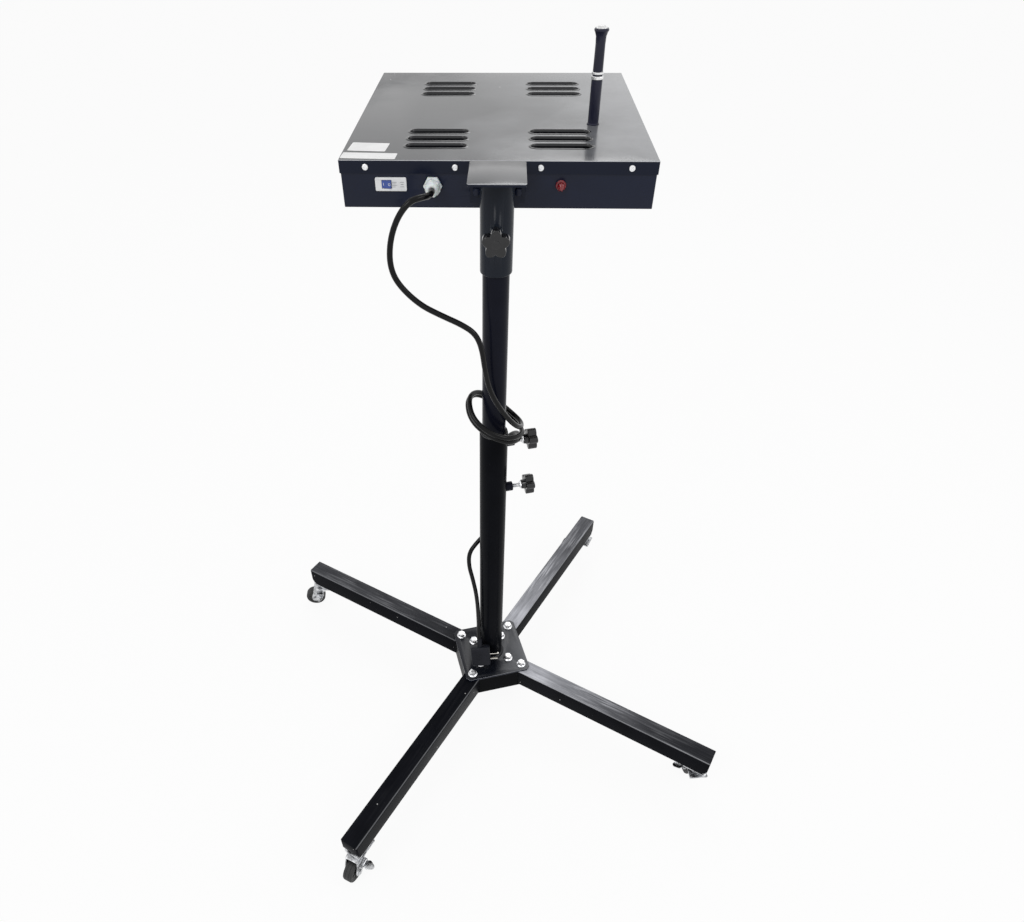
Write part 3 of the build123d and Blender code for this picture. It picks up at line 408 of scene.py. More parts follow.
# for each paint: dark tint, light tint, least and greatest roughness, then the scales of its patches and grain and
# the height of the grain
materials = {
    **{"leg_" + key: legPaint(key) for key in stand["legAngles"]},
    "hub": sheetPaint("hubPaint", (0.004, 0.005, 0.008), (0.014, 0.016, 0.024), 0.24, 0.36,
                      (0.0, 0.09, 0.0, 0.34, 0.10), "hub_plate", IOR=1.36),
    "hubWall": plain("hubWallPaint", (0.0012, 0.0014, 0.002), (0.003, 0.0034, 0.0045), 0.3, 0.42, IOR=1.08),
    "column": plain("columnPaint", (0.003, 0.0034, 0.0048), (0.006, 0.0066, 0.009), 0.20, 0.32, 9.0, 800.0, 0.10,
                    IOR=1.09),
    "tube": plain("mastPaint", (0.004, 0.0046, 0.010), (0.008, 0.009, 0.017), 0.18, 0.30, 9.0, 800.0, 0.10, IOR=1.17),
    "sleeve": plain("sleevePaint", (0.010, 0.013, 0.020), (0.015, 0.019, 0.028), 0.18, 0.32, 9.0, 800.0, 0.12,
                    IOR=1.22),
    "case": sheetPaint("casePaint", (0.005, 0.008, 0.022), (0.009, 0.013, 0.032), 0.20, 0.32,
                       (0.0, 0.1, 0.0, 0.0, 0.0), IOR=1.31),
    "lid": sheetPaint("lidPaint", (0.012, 0.013, 0.017), (0.034, 0.036, 0.042), 0.12, 0.26,
                      (-0.06, 0.26, 0.0, 0.55, 0.35), "head_lid", True),
    "armPlate": sheetPaint("armPlatePaint", (0.012, 0.013, 0.019), (0.024, 0.026, 0.033), 0.08, 0.20,
                           (-0.01, 0.05, 0.0, 0.10, 0.04), "arm_plate"),
    "zinc": plated("brightZinc", (0.70, 0.71, 0.73), (0.95, 0.95, 0.96), 0.18, 0.38),
    "casterZinc": plated("casterZinc", (0.05, 0.052, 0.058), (0.84, 0.85, 0.87), 0.12, 0.34),
    "axleSteel": plated("axleSteel", (0.45, 0.45, 0.46), (0.66, 0.66, 0.67), 0.25, 0.45),
    "chrome": plated("gripChrome", (0.72, 0.72, 0.73), (0.88, 0.88, 0.88), 0.06, 0.16),
    "guardWire": plated("guardWire", (0.35, 0.35, 0.36), (0.60, 0.60, 0.61), 0.3, 0.5),
    "blade": plated("bladeMetal", (0.66, 0.64, 0.58), (0.85, 0.83, 0.78), 0.12, 0.26),
    "wheel": plain("wheelRubber", (0.014, 0.014, 0.015), (0.036, 0.036, 0.037), 0.5, 0.75, 40.0, 1400.0, 0.5),
    "wheelCore": plain("wheelCore", (0.018, 0.018, 0.019), (0.030, 0.030, 0.031), 0.35, 0.5, 40.0, 1200.0, 0.2),
    "knob": plain("knobPlastic", (0.004, 0.004, 0.005), (0.009, 0.009, 0.011), 0.10, 0.20, 60.0, 2200.0, 0.15),
    "lip": plain("rolledLip", (0.003, 0.0035, 0.005), (0.008, 0.009, 0.012), 0.06, 0.12, 20.0, 900.0, 0.05),
    "bush": plain("bushPlastic", (0.020, 0.020, 0.022), (0.032, 0.032, 0.034), 0.4, 0.55, 60.0, 1800.0, 0.2),
    "nylon": plain("whiteNylon", (0.84, 0.84, 0.83), (0.93, 0.93, 0.92), 0.28, 0.42, 40.0, 1500.0, 0.15,
                   Subsurface_Weight=0.15),
    "switchWhite": plain("switchPlastic", (0.74, 0.75, 0.76), (0.82, 0.83, 0.84), 0.22, 0.34, 40.0, 1500.0, 0.08),
    "rockerBlue": plain("rockerPlastic", (0.015, 0.05, 0.27), (0.03, 0.08, 0.36), 0.18, 0.28, 60.0, 1500.0, 0.05,
                        Coat_Weight=0.4),
    "printGrey": plain("printGrey", (0.30, 0.31, 0.33), (0.36, 0.37, 0.39), 0.4, 0.5),
    "label": plain("labelVinyl", (0.74, 0.74, 0.74), (0.86, 0.86, 0.86), 0.3, 0.5, 30.0, 1800.0, 0.12),
    "grip": plain("gripEnamel", (0.010, 0.011, 0.026), (0.018, 0.019, 0.040), 0.14, 0.26, 20.0, 900.0, 0.08,
                  IOR=1.35),
    "gripCap": plain("gripCap", (0.70, 0.70, 0.70), (0.85, 0.85, 0.85), 0.25, 0.4),
    "board": boardPaint(),
    "endCap": plain("ceramicCap", (0.66, 0.64, 0.60), (0.78, 0.76, 0.72), 0.55, 0.7, 50.0, 1300.0, 0.3),
    "cord": plain("cordJacket", (0.003, 0.003, 0.0034), (0.007, 0.007, 0.008), 0.10, 0.20, 30.0, 1600.0, 0.15,
                  IOR=1.26),
    "plug": plain("plugRubber", (0.009, 0.010, 0.014), (0.015, 0.016, 0.022), 0.34, 0.48, 30.0, 1600.0, 0.3,
                  IOR=1.25),
    "bead": plain("weldBead", (0.008, 0.009, 0.012), (0.015, 0.016, 0.020), 0.22, 0.4, 120.0, 900.0, 0.5, IOR=1.35),
    "lamp": plain("lampLens", (0.20, 0.003, 0.008), (0.32, 0.009, 0.018), 0.06, 0.14, 60.0, 900.0, 0.03,
                  Coat_Weight=0.4, Transmission_Weight=0.25),
    "quartz": plain("quartzRod", (0.62, 0.58, 0.52), (0.74, 0.70, 0.64), 0.3, 0.5, 30.0, 900.0, 0.1,
                    Transmission_Weight=0.35),
}
print("materials made:", len(bpy.data.materials))


def meshFrom(bm, name):
    mesh = bpy.data.meshes.new(name)
    bm.to_mesh(mesh)
    bm.free()
    return mesh


def finishPiece(bm, name, body, material, node="", smooth=32, weld=0.00001, at=None):
    if at is not None:
        bmesh.ops.transform(bm, matrix=at, verts=bm.verts)
    bmesh.ops.remove_doubles(bm, verts=bm.verts, dist=weld)
    bmesh.ops.recalc_face_normals(bm, faces=bm.faces)
    mesh = meshFrom(bm, name)
    mesh.shade_smooth()
    mesh.set_sharp_from_angle(angle=radians(smooth))
    mesh.materials.append(materials[material])
    obj = placed(name, mesh)
    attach(obj, body)
    if node:
        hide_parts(node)


def softenEdges(bm, edges, width, segments=2):
    return bmesh.ops.bevel(bm, geom=edges, offset=width, offset_type="OFFSET", segments=segments, profile=0.5,
                           affect="EDGES", material=-1, clamp_overlap=True)["verts"]


def sharpEdges(bm, angle):
    return [e for e in bm.edges if len(e.link_faces) == 2 and e.calc_face_angle(0) > radians(angle)]


def flatEdges(edges):
    return [e for e in edges if abs(e.verts[0].co.z - e.verts[1].co.z) < 1e-6]


def polygon(bm, places):
    return bm.faces.new([bm.verts.new(place) for place in places])


def raiseFace(bm, face, step):
    raised = bmesh.ops.extrude_face_region(bm, geom=[face])["geom"]
    verts = [v for v in raised if isinstance(v, bmesh.types.BMVert)]
    bmesh.ops.translate(bm, vec=step, verts=verts)
    return verts


def lathe(bm, profile, steps, matrix=Matrix()):
    # profile is (radius, height) pairs turned about Z
    before = set(bm.verts)
    verts = [bm.verts.new((r, 0, z)) for r, z in profile]
    edges = [bm.edges.new(pair) for pair in zip(verts, verts[1:])]
    bmesh.ops.spin(bm, geom=verts + edges, cent=(0, 0, 0), axis=(0, 0, 1), angle=2 * pi, steps=steps, use_merge=True)
    bmesh.ops.remove_doubles(bm, verts=[v for v in bm.verts if v not in before], dist=0.000002)
    whole = [v for v in bm.verts if v not in before]
    bmesh.ops.transform(bm, matrix=matrix, verts=whole)
    return whole


def rod(bm, radius, low, high, steps, matrix=Matrix()):
    return lathe(bm, [(0.0, low), (radius, low), (radius, high), (0.0, high)], steps, matrix)


def edgesOf(verts):
    return list(dict.fromkeys(e for v in verts for e in v.link_edges))


def eased(bm, made, edges, width, segments, matrix):
    # edges rounded, then the whole shape put in its place
    if width:
        made = [v for v in {*made, *softenEdges(bm, edges, width, segments)} if v.is_valid]
    bmesh.ops.transform(bm, matrix=matrix, verts=made)
    return made


def block(bm, size, centre, width=0.0, segments=2, matrix=Matrix()):
    made = bmesh.ops.create_cube(bm, size=1.0)["verts"]
    bmesh.ops.scale(bm, vec=size, verts=made)
    bmesh.ops.translate(bm, vec=centre, verts=made)
    return eased(bm, made, edgesOf(made), width, segments, matrix)


def hexagon(bm, flats, low, high, width, matrix=Matrix(), twist=0.0):
    made = bmesh.ops.create_cone(bm, cap_ends=True, segments=6, radius1=flats / sqrt(3), radius2=flats / sqrt(3),
                                 depth=high - low, matrix=shifted(0, 0, (low + high) / 2) @ spun(twist, "Z"))["verts"]
    return eased(bm, made, flatEdges(edgesOf(made)), width, 2, matrix)


def roundedCopy(node, name, body, material, width=0.0, angle=60, segments=2):
    # the node's own shape with its sharp edges eased, for sheet and cast parts
    bm = bmesh.new()
    bm.from_mesh(nodes[node].data)
    bmesh.ops.remove_doubles(bm, verts=bm.verts, dist=0.00002)
    bmesh.ops.dissolve_limit(bm, angle_limit=radians(1.0), verts=bm.verts, edges=bm.edges)
    if width:
        softenEdges(bm, sharpEdges(bm, angle), width, segments)
    finishPiece(bm, name, body, material, node, weld=0.000005)


def boxMiddle(node):
    # a node's box: its low and high corner and its middle
    low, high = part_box(node)
    return low, high, (low + high) / 2


cord = {
    "diameter": 0.009, "seam": (-0.131, -0.025, 1.029), "upperLength": 0.205, "lowerLength": 1.61,
    "upperRoute": [
        (-0.094, 0.0245, 1.162), (-0.094, 0.006, 1.162), (-0.1045, -0.009, 1.165), (-0.122, -0.019, 1.163),
        (-0.141, -0.021, 1.14), (-0.1535, -0.021, 1.107), (-0.1565, -0.022, 1.072), (-0.1465, -0.023, 1.044),
        (-0.131, -0.025, 1.029)],
    "lowerRoute": [
        (-0.131, -0.025, 1.029), (-0.1155, -0.027, 1.014), (-0.083, -0.033, 1.0), (-0.05, -0.036, 0.986),
        (-0.0295, -0.038, 0.972), (-0.02, -0.037, 0.946), (-0.015, -0.036, 0.905), (-0.007, -0.038, 0.868),
        (0.014, -0.039, 0.829), (0.037, -0.028, 0.794), (0.049, -0.005, 0.775), (0.048, 0.024, 0.768),
        (0.026, 0.045, 0.777), (-0.004, 0.05, 0.801), (-0.032, 0.035, 0.823), (-0.045, 0.003, 0.829),
        (-0.037, -0.03, 0.81), (-0.007, -0.047, 0.79), (0.027, -0.043, 0.776), (0.051, -0.01, 0.763),
        (0.049, 0.023, 0.756), (0.029, 0.048, 0.764), (-0.003, 0.056, 0.789), (-0.034, 0.042, 0.814),
        (-0.048, 0.009, 0.82), (-0.04, -0.024, 0.801), (-0.009, -0.042, 0.782), (0.024, -0.039, 0.765),
        (0.046, -0.011, 0.752), (0.044, 0.025, 0.745), (0.023, 0.046, 0.717), (0.013, 0.048, 0.672),
        (0.008, 0.047, 0.617), (0.005, 0.046, 0.562), (0.003, 0.043, 0.515), (-0.011, 0.034, 0.482),
        (-0.032, 0.018, 0.466), (-0.048, 0.003, 0.45), (-0.0485, -0.005, 0.42), (-0.0405, -0.01, 0.385),
        (-0.0335, -0.014, 0.345), (-0.03, -0.016, 0.305), (-0.0285, -0.017, 0.264), (-0.028, -0.017, 0.241),
        (-0.0285, -0.0165, 0.224), (-0.0265, -0.026, 0.203)]}

# the plug: lengths along its axis, its section, its ribs, the middle of the blades and where blades and pin stand
plug = {"relief": 0.020, "body": 0.048, "width": 0.044, "thick": 0.022, "ease": 0.0055, "ribs": 5, "bladesUp": 0.024,
        "gripRibs": 6, "gripPitch": 0.0042, "gripStart": 0.010, "gripRib": (0.0198, 0.0010, 0.0022),
        "blade": (0.0170, 0.0064, 0.0016), "bladeGap": 0.0127, "bladeY": 0.005, "pinY": -0.0065,
        "pin": mm((0, 0), (2.4, 0), (2.4, 18), (1.6, 19.5), (0, 20))}


def cordCurve(route, name):
    data = bpy.data.curves.new(name, "CURVE")
    data.dimensions, data.resolution_u = "3D", 10
    spline = data.splines.new("NURBS")
    spline.points.add(len(route) - 1)
    for point, place in zip(spline.points, route):
        point.co = (*place, 1)
    spline.order_u, spline.use_endpoint_u = 3, True
    return placed(name, data)


def meshOf(obj):
    bpy.context.view_layer.update()
    return bpy.data.meshes.new_from_object(obj.evaluated_get(bpy.context.evaluated_depsgraph_get()))


def cordTube(name, part):
    route, length = cord[part + "Route"], cord[part + "Length"]
    guide = cordCurve(route, name + "_line")
    line = meshOf(guide)
    path = [tuple(v.co) for v in line.vertices]
    guide.data.bevel_depth, guide.data.bevel_resolution, guide.data.use_fill_caps = cord["diameter"] / 2, 4, True
    mesh = meshOf(guide)
    bpy.data.objects.remove(guide)
    mesh.name = name
    mesh.shade_smooth()
    mesh.materials.clear()
    mesh.materials.append(materials["cord"])
    tube = placed(name, mesh)
    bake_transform(tube)
    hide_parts("cord_" + part)
    runs = [(Vector(b) - Vector(a)).length for a, b in zip(path, path[1:])]
    print("cord", name, "points", len(path), "length", round(sum(runs), 4))


def makePlug():
    # ribbed relief, moulded body with grip ribs, two blades and the ground pin out of its side
    top, before = Vector(cord["lowerRoute"][-1]), Vector(cord["lowerRoute"][-2])
    ahead = (top - before).normalized()
    wide = (Vector((1, 0, 0)) - ahead * ahead.x).normalized()
    turned = shifted(*top) @ basis(wide, ahead.cross(wide), ahead)
    relief, tall, half = plug["relief"], plug["body"], plug["width"] / 2
    neck = cord["diameter"] / 2
    step = (relief - 0.003) / plug["ribs"]
    profile = [(0.0, 0.0), (neck + 0.0005, 0.0)]
    for i in range(plug["ribs"]):
        z = 0.001 + i * step
        r = neck + 0.0006 + 0.0012 * (i + 1) / plug["ribs"]
        profile += [(r - 0.0007, z), (r, z + step * 0.2), (r, z + step * 0.65), (r - 0.0007, z + step * 0.85)]
    bm = bmesh.new()
    lathe(bm, profile + [(neck + 0.0018, relief + 0.002), (0.0, relief + 0.002)], 28, turned)
    block(bm, (2 * half, plug["thick"], tall), (0, 0, relief + tall / 2), plug["ease"], 4, turned)
    for side in (-1, 1):
        for i in range(plug["gripRibs"]):
            z = relief + plug["gripStart"] + i * plug["gripPitch"]
            block(bm, plug["gripRib"], (-half / 4, side * (plug["thick"] / 2 + 0.0001), z), 0.0004, 1, turned)
    finishPiece(bm, "plugBody", "base", "plug", "plug_body")
    bm = bmesh.new()
    middle = relief + plug["bladesUp"]
    for side in (-1, 1):
        centre = (half + plug["blade"][0] / 2, plug["bladeY"], middle + side * plug["bladeGap"] / 2)
        block(bm, plug["blade"], centre, 0.0005, 2, turned)
    lathe(bm, plug["pin"], 20, turned @ shifted(half, plug["pinY"], middle) @ spun(90, "Y"))
    finishPiece(bm, "plugBlades", "base", "blade", "plug_blades")
    return [bpy.data.objects[name] for name in ("plugBody", "plugBlades")]


plugPieces = makePlug()
cordTube("cordUpper", "upper")
cordTube("cordLower", "lower")
print("cords made")


def repaint(node, material):
    nodes[node].data.materials.clear()
    nodes[node].data.materials.append(materials[material])


def legMatrix(key):
    return spun(stand["yaw"] + stand["legAngles"][key], "Z")


# bolt places along each leg, the flange and the crown of a bolt's head, its hexagon (flats, low, high, ease)
base = {"boltRadii": (0.047, 0.082), "flange": mm((0, 0), (10.5, 0), (10.5, 0.9), (9.9, 1.5), (8.2, 2.6), (0, 2.6)),
        "hexagon": (0.015, 0.0016, 0.0085, 0.0011), "crown": mm((0, 7.8), (4.4, 7.8), (4.4, 8.7), (3.8, 9), (0, 8.6)),
        "shank": 0.005, "threadFrom": -0.050, "pitch": 0.0015, "thread": mm((5, 0), (4.4, -0.7))}


def makeHubBolts():
    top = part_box("hub_plate")[1].z
    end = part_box("hub_bolts")[0].z - top
    half, z = base["shank"], base["threadFrom"]
    shank = [(0.0, 0.001), (half, 0.001), (half, z)]
    while z > end + 0.0016:
        shank += [(r, z + up) for r, up in base["thread"]]
        z -= base["pitch"]
    shank += [(half - 0.001, end), (0.0, end)]
    bm = bmesh.new()
    for key in stand["legAngles"]:
        for i, radius in enumerate(base["boltRadii"]):
            at = legMatrix(key) @ shifted(radius, 0, top)
            lathe(bm, base["flange"], 32, at)
            hexagon(bm, *base["hexagon"], at, 17 * i + 9)
            lathe(bm, base["crown"], 20, at)
            lathe(bm, shank, 18, at)
    finishPiece(bm, "hubBolts", "base", "zinc", "hub_bolts")


for key in stand["legAngles"]:
    roundedCopy("leg_" + key, "legTube_" + key, "base", "leg_" + key, 0.0006)
roundedCopy("hub_plate", "hubPlate", "base", "hub", 0.0007)
roundedCopy("hub_box", "hubBox", "base", "hubWall")
makeHubBolts()
repaint("hub_nuts", "zinc")
repaint("caster_nuts", "axleSteel")
print("base made")


# star knob: grip sizes, the easing of its rims and the dish in its face, its hub and its end disc, and the screw's
# point and thread with its collar (flats, low, high, ease)
knob = {"radius": 0.0198, "waist": 0.0135, "thick": 0.0160, "lobes": 5, "lobeShape": 0.62, "hubLength": 0.007,
        "rimEase": 0.0026, "dishRim": 0.0032, "dish": 0.0009,
        "hub": mm((4.2, 0), (7.8, 0), (8.6, 0.8), (9.3, 6), (10.8, 8), (0, 8)),
        "endDisc": mm((0, -1.2), (6.2, -1.2), (6.2, -0.6), (5.6, -0.2), (0, 0)),
        "screw": 0.004, "point": mm((2.8, 0), (3.6, 1)), "threadFrom": 0.0016, "pitch": 0.00125, "thread": 0.00055,
        "collar": (0.0125, -0.0031, -0.0002, 0.0006)}


def knobMatrix(name):
    joint = joints["knob_turn_" + name]
    along = Vector(joint["axis"]).normalized()
    wide = along.cross(Vector((0, 0, 1))).normalized()
    return shifted(0, 0, joint["pos_m"][2]) @ basis(wide, along.cross(wide), along)


def reach(node, at):
    # how far a node starts and ends along its clamp's axis
    along = at.to_3x3() @ Vector((0, 0, 1))
    far = [v.co.dot(along) for v in nodes[node].data.vertices]
    return min(far), max(far)


def makeKnob(name):
    at = knobMatrix(name)
    gripStart, gripEnd = reach("knob_grip_" + name, at)
    screwStart, screwEnd = reach("knob_screw_" + name, at)
    bm = bmesh.new()
    star = bmesh.ops.create_circle(bm, cap_ends=True, segments=120, radius=1.0)["verts"]
    for v in star:
        wave = 0.5 + 0.5 * cos(knob["lobes"] * (atan2(v.co.y, v.co.x) + pi / 2))
        v.co = v.co * (knob["waist"] + (knob["radius"] - knob["waist"]) * wave ** knob["lobeShape"])
        v.co.z = gripStart + knob["hubLength"]
    raiseFace(bm, bm.faces[:][0], (0, 0, knob["thick"]))
    softenEdges(bm, flatEdges(bm.edges), knob["rimEase"], 4)
    top = max(bm.faces, key=lambda f: (f.calc_center_median().z, f.calc_area()))
    bmesh.ops.inset_individual(bm, faces=[top], thickness=knob["dishRim"], depth=-knob["dish"])
    lathe(bm, knob["hub"], 36, shifted(0, 0, gripStart))
    lathe(bm, knob["endDisc"], 32, shifted(0, 0, gripEnd))
    finishPiece(bm, "knobGrip_" + name, "knob_" + name, "knob", "knob_grip_" + name, 50, at=at)
    bm = bmesh.new()
    r, z = knob["screw"], screwStart + knob["threadFrom"]
    profile = [(0.0, screwStart)] + [(radius, screwStart + up) for radius, up in knob["point"]]
    while z < gripStart - 0.0006:
        profile += [(r, z), (r - knob["thread"], z + knob["pitch"] / 2)]
        z += knob["pitch"]
    lathe(bm, profile + [(r, z), (r, screwEnd), (0.0, screwEnd)], 24)
    hexagon(bm, *knob["collar"], shifted(0, 0, gripStart), 11)
    finishPiece(bm, "knobScrew_" + name, "knob_" + name, "zinc", "knob_screw_" + name, at=at)


# welds: the ring at the column's foot as (share of its width, share of its height, offset outwards), and ripples
weld = {"foot": ((0, 0, -0.0005), (1, 0, -0.0003), (1, 0.30, -0.0007), (1, 0.62, -0.0022), (0, 0.93, 0.0007),
                 (0, 0.98, -0.0005)), "footRipples": 46, "arm": 0.0035, "armRipples": 38}


def makeFootWeld():
    low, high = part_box("column_weld")
    inner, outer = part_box("column_tube")[1].x, high.x
    bm = bmesh.new()
    profile = [(inner + (outer - inner) * a + out, low.z + (high.z - low.z) * b) for a, b, out in weld["foot"]]
    for v in lathe(bm, profile, 4 * weld["footRipples"]):
        r = v.co.xy.length
        swell = 0.00022 * sin(atan2(v.co.y, v.co.x) * weld["footRipples"]) * (r - inner) / (outer - inner)
        v.co.xy *= 1 + (swell - 0.0001) / r
    finishPiece(bm, "columnWeld", "base", "bead", "column_weld", 60)


roundedCopy("column_tube", "columnTube", "base", "column")
roundedCopy("column_bush", "columnBush", "base", "bush", 0.0006)
makeFootWeld()
for name in ("upper", "lower"):
    roundedCopy("boss_" + name, "clampBoss_" + name, "base", "tube", 0.0008, 50, 3)
    makeKnob(name)
print("column and knobs made")


# bolts through the arm's lugs, built about the lug's face: (flats, low, high, ease), (radius, low, high), the shank
arm = {"boltHead": 0.0040, "headHexagon": (0.0100, 0.0006, 0.0040, 0.0007), "washer": (0.0060, 0.0, 0.0010),
       "shank": 0.0030, "nutHexagon": (0.0100, 0.0014, 0.0060, 0.0006)}


def makeSleeveWeld():
    # a rippled ring of weld under the plate, round the sleeve
    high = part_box("arm_sleeve")[1]
    width, ripples, inner = weld["arm"], weld["armRipples"], high.x - 0.0003
    profile = [(high.x + width * out, high.z - width * down) for out, down in ((1, 0), (0.8, 0.35), (0.35, 0.8))]
    bm = bmesh.new()
    for v in lathe(bm, [(inner, high.z), *profile, (inner, high.z - width)], 4 * ripples):
        v.co.xy *= 1 + 0.0002 * sin(atan2(v.co.y, v.co.x) * ripples) / v.co.xy.length
    finishPiece(bm, "sleeveWeld", "head", "bead", smooth=60)


def solids(node):
    # the low and high corner of each separate solid of one node
    bm = bmesh.new()
    bm.from_mesh(nodes[node].data)
    bmesh.ops.remove_doubles(bm, verts=bm.verts, dist=0.00002)
    left, found = set(bm.verts), []
    for first in bm.verts:
        if first not in left:
            continue
        left.remove(first)
        stack, group = [first], []
        while stack:
            v = stack.pop()
            group.append(v.co.copy())
            near = {e.other_vert(v) for e in v.link_edges} & left
            left -= near
            stack += near
        found.append([Vector(map(pick, zip(*group))) for pick in (min, max)])
    bm.free()
    return found


def makeArmBolts():
    bm = bmesh.new()
    for low, high in solids("arm_bolts"):
        face = low.y + arm["boltHead"]
        at = shifted((low.x + high.x) / 2, face, (low.z + high.z) / 2) @ spun(90, "X")
        hexagon(bm, *arm["headHexagon"], at, 20)
        rod(bm, *arm["washer"], 24, at)
        rod(bm, arm["shank"], 0.0, face - high.y, 16, at)
        hexagon(bm, *arm["nutHexagon"], at @ shifted(0, 0, face - high.y))
    finishPiece(bm, "armBolts", "head", "case", "arm_bolts")


roundedCopy("mast_tube", "mastTube", "mast", "tube")
roundedCopy("mast_ring", "mastRing", "mast", "bush", 0.0005)
roundedCopy("arm_sleeve", "armSleeve", "head", "sleeve")
makeKnob("arm")
roundedCopy("arm_plate", "armPlate", "head", "armPlate", 0.0006, 50)
makeSleeveWeld()
makeArmBolts()
print("mast and arm made")


# rows are slot middles from the lid's front edge; the lip is (outside the slot, above the lid); the screw is turned
# about its seat and cut by the recess blocks; a label is its middle, its size and its turn
head = {"slotHalf": 0.046, "slotRadius": 0.011, "slotX": 0.093, "rows": (0.0655, 0.1015, 0.1375, 0.362, 0.398, 0.434),
        "lip": mm((3.2, 0.1), (2, 0.7), (0.8, 1), (-0.2, 0.7), (-0.9, -0.4), (-1.1, -5)), "lipSteps": 13,
        "screw": mm((0, -6), (1.3, -6), (1.8, -5.2), (1.8, 0), (4.5, 0), (4.5, 0.91), (4.185, 1.872), (2.97, 2.47),
                    (0, 2.6)), "recess": ((0.0052, 0.0012, 0.003), (0.0012, 0.0052, 0.003)), "recessAt": 0.0028,
        "labels": {"wide": (-0.1865, 0.06325, 0.0800, 0.0265, -2.9),
                   "square": (-0.19225, 0.1040, 0.0565, 0.0390, -4.4)}}


def makeSlotLips():
    # each slot's edge is rolled down into the head
    low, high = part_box("head_lid")
    reachX = head["slotHalf"] - head["slotRadius"]
    bm = bmesh.new()
    for x in (-head["slotX"], head["slotX"]):
        for row in head["rows"]:
            rings = []
            for out, up in head["lip"]:
                radius, ring = head["slotRadius"] + out, []
                for side, start in ((1, -90), (-1, 90)):
                    for i in range(head["lipSteps"]):
                        turn = radians(start + 15 * i)
                        across, along = side * reachX + radius * cos(turn), row + radius * sin(turn)
                        ring.append(bm.verts.new((x + across, low.y + along, high.z + up)))
                rings.append([bm.edges.new(pair) for pair in zip(ring, ring[1:] + ring[:1])])
            for a, b in zip(rings, rings[1:]):
                bmesh.ops.bridge_loops(bm, edges=a + b)
    finishPiece(bm, "slotLips", "head", "lip", smooth=60)


def crossScrew():
    # pan head with a cross recess, cut once and then repeated
    bm = bmesh.new()
    lathe(bm, head["screw"], 28)
    bmesh.ops.remove_doubles(bm, verts=bm.verts, dist=0.00001)
    bmesh.ops.recalc_face_normals(bm, faces=bm.faces)
    shape = placed("screwShape", meshFrom(bm, "screwShape"))
    bm = bmesh.new()
    for size in head["recess"]:
        block(bm, size, (0, 0, head["recessAt"]))
    cut = placed("screwCut", meshFrom(bm, "screwCut"))
    recess = shape.modifiers.new("recess", "BOOLEAN")
    recess.object, recess.operation, recess.use_self = cut, "DIFFERENCE", True
    made = meshOf(shape)
    for obj in (shape, cut):
        bpy.data.objects.remove(obj)
    return made


def makeLidScrews():
    template = crossScrew()
    lidLow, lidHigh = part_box("head_lid")
    bm = bmesh.new()
    for i, (low, high) in enumerate(solids("lid_screws")):
        x, y, z = (low + high) / 2
        if lidLow.y + 0.01 <= y <= lidHigh.y - 0.01:
            at = shifted((lidLow if x < 0 else lidHigh).x, y, z) @ spun(-90 if x < 0 else 90, "Y")
        else:
            front = y < lidLow.y + 0.01
            at = shifted(x, (lidLow if front else lidHigh).y, z) @ spun(90 if front else -90, "X")
        copy = template.copy()
        copy.transform(at @ spun(37 * i, "Z"))
        bm.from_mesh(copy)
        bpy.data.meshes.remove(copy)
    finishPiece(bm, "lidScrews", "head", "zinc", "lid_screws")


def makeLabels():
    # two plain vinyl labels with rounded corners, one edge of each a little lifted
    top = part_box("head_lid")[1].z
    for name, (x, y, wide, tall, turn) in head["labels"].items():
        bm = bmesh.new()
        made = bmesh.ops.create_grid(bm, x_segments=12, y_segments=6, size=0.5)["verts"]
        bmesh.ops.scale(bm, vec=(wide, tall, 1), verts=made)
        corners = [v for v in bm.verts if len(v.link_edges) == 2]
        bmesh.ops.bevel(bm, geom=corners, offset=0.0022, offset_type="OFFSET", segments=4, profile=0.5,
                        affect="VERTICES", material=-1)
        for v in bm.verts:
            v.co.z += 0.00012 + 0.0005 * max(0, v.co.x / wide - 0.25) ** 2
        bmesh.ops.solidify(bm, geom=bm.faces[:], thickness=-0.00015)
        finishPiece(bm, "label_" + name, "head", "label", at=shifted(x, y, top) @ spun(turn, "Z"))


roundedCopy("head_case", "headCase", "head", "case", 0.0004)
roundedCopy("head_lid", "headLid", "head", "lid")
makeSlotLips()
makeLidScrews()
makeLabels()
print("head made")


# printed marks as (x, height, wide, tall) about the switch's middle; the rocker's own marks lie on its dished face;
# gland and lamp parts are turned about an axis that comes out of the case's front wall
panel = {"marks": ((-0.1515, 0.0030, 0.0100, 0.0009), (-0.1515, 0.0008, 0.0085, 0.0007),
                   (-0.1515, -0.0013, 0.0100, 0.0007), (-0.1515, -0.0034, 0.0065, 0.0007),
                   (-0.1385, 0.0030, 0.0055, 0.0007), (-0.1385, 0.0, 0.0040, 0.0009),
                   (-0.1385, -0.0032, 0.0055, 0.0007)),
         "rocker": (0.0137, 0.006, 0.011), "rockerTurn": -9, "dish": 0.0010, "dishCuts": 9, "rockerMark": 0.0042,
         "line": (0.0006, 0.0002, 0.0034), "ring": mm((1.2, 0), (1.7, 0), (1.7, 0.2), (1.2, 0.2), (1.2, 0)),
         "glandHexagon": (0.0240, 0.0, 0.0052, 0.0008), "glandNeck": (0.0098, 0.005, 0.008), "nutFlats": 0.0212,
         "dome": mm((10.4, -8.2), (10.2, -6), (9.4, -3.2), (8, -1), (6.6, 0), (4.5, 0), (4.2, -1.2), (4.2, -8.2),
                    (10.4, -8.2)), "flutes": 12, "fluteDepth": 0.00035, "glandTail": (0.0073, 0.0, -0.0135),
         "seal": mm((3.95, -1), (5.4, -1), (5.2, 0.02), (4, -0.1), (3.95, -1)),
         "lensSteps": ((0.26, 0.20), (0.30, 0.13))}
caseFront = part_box("head_case")[0].y


def frontMatrix(x, y, z):
    return shifted(x, y, z) @ spun(90, "X")


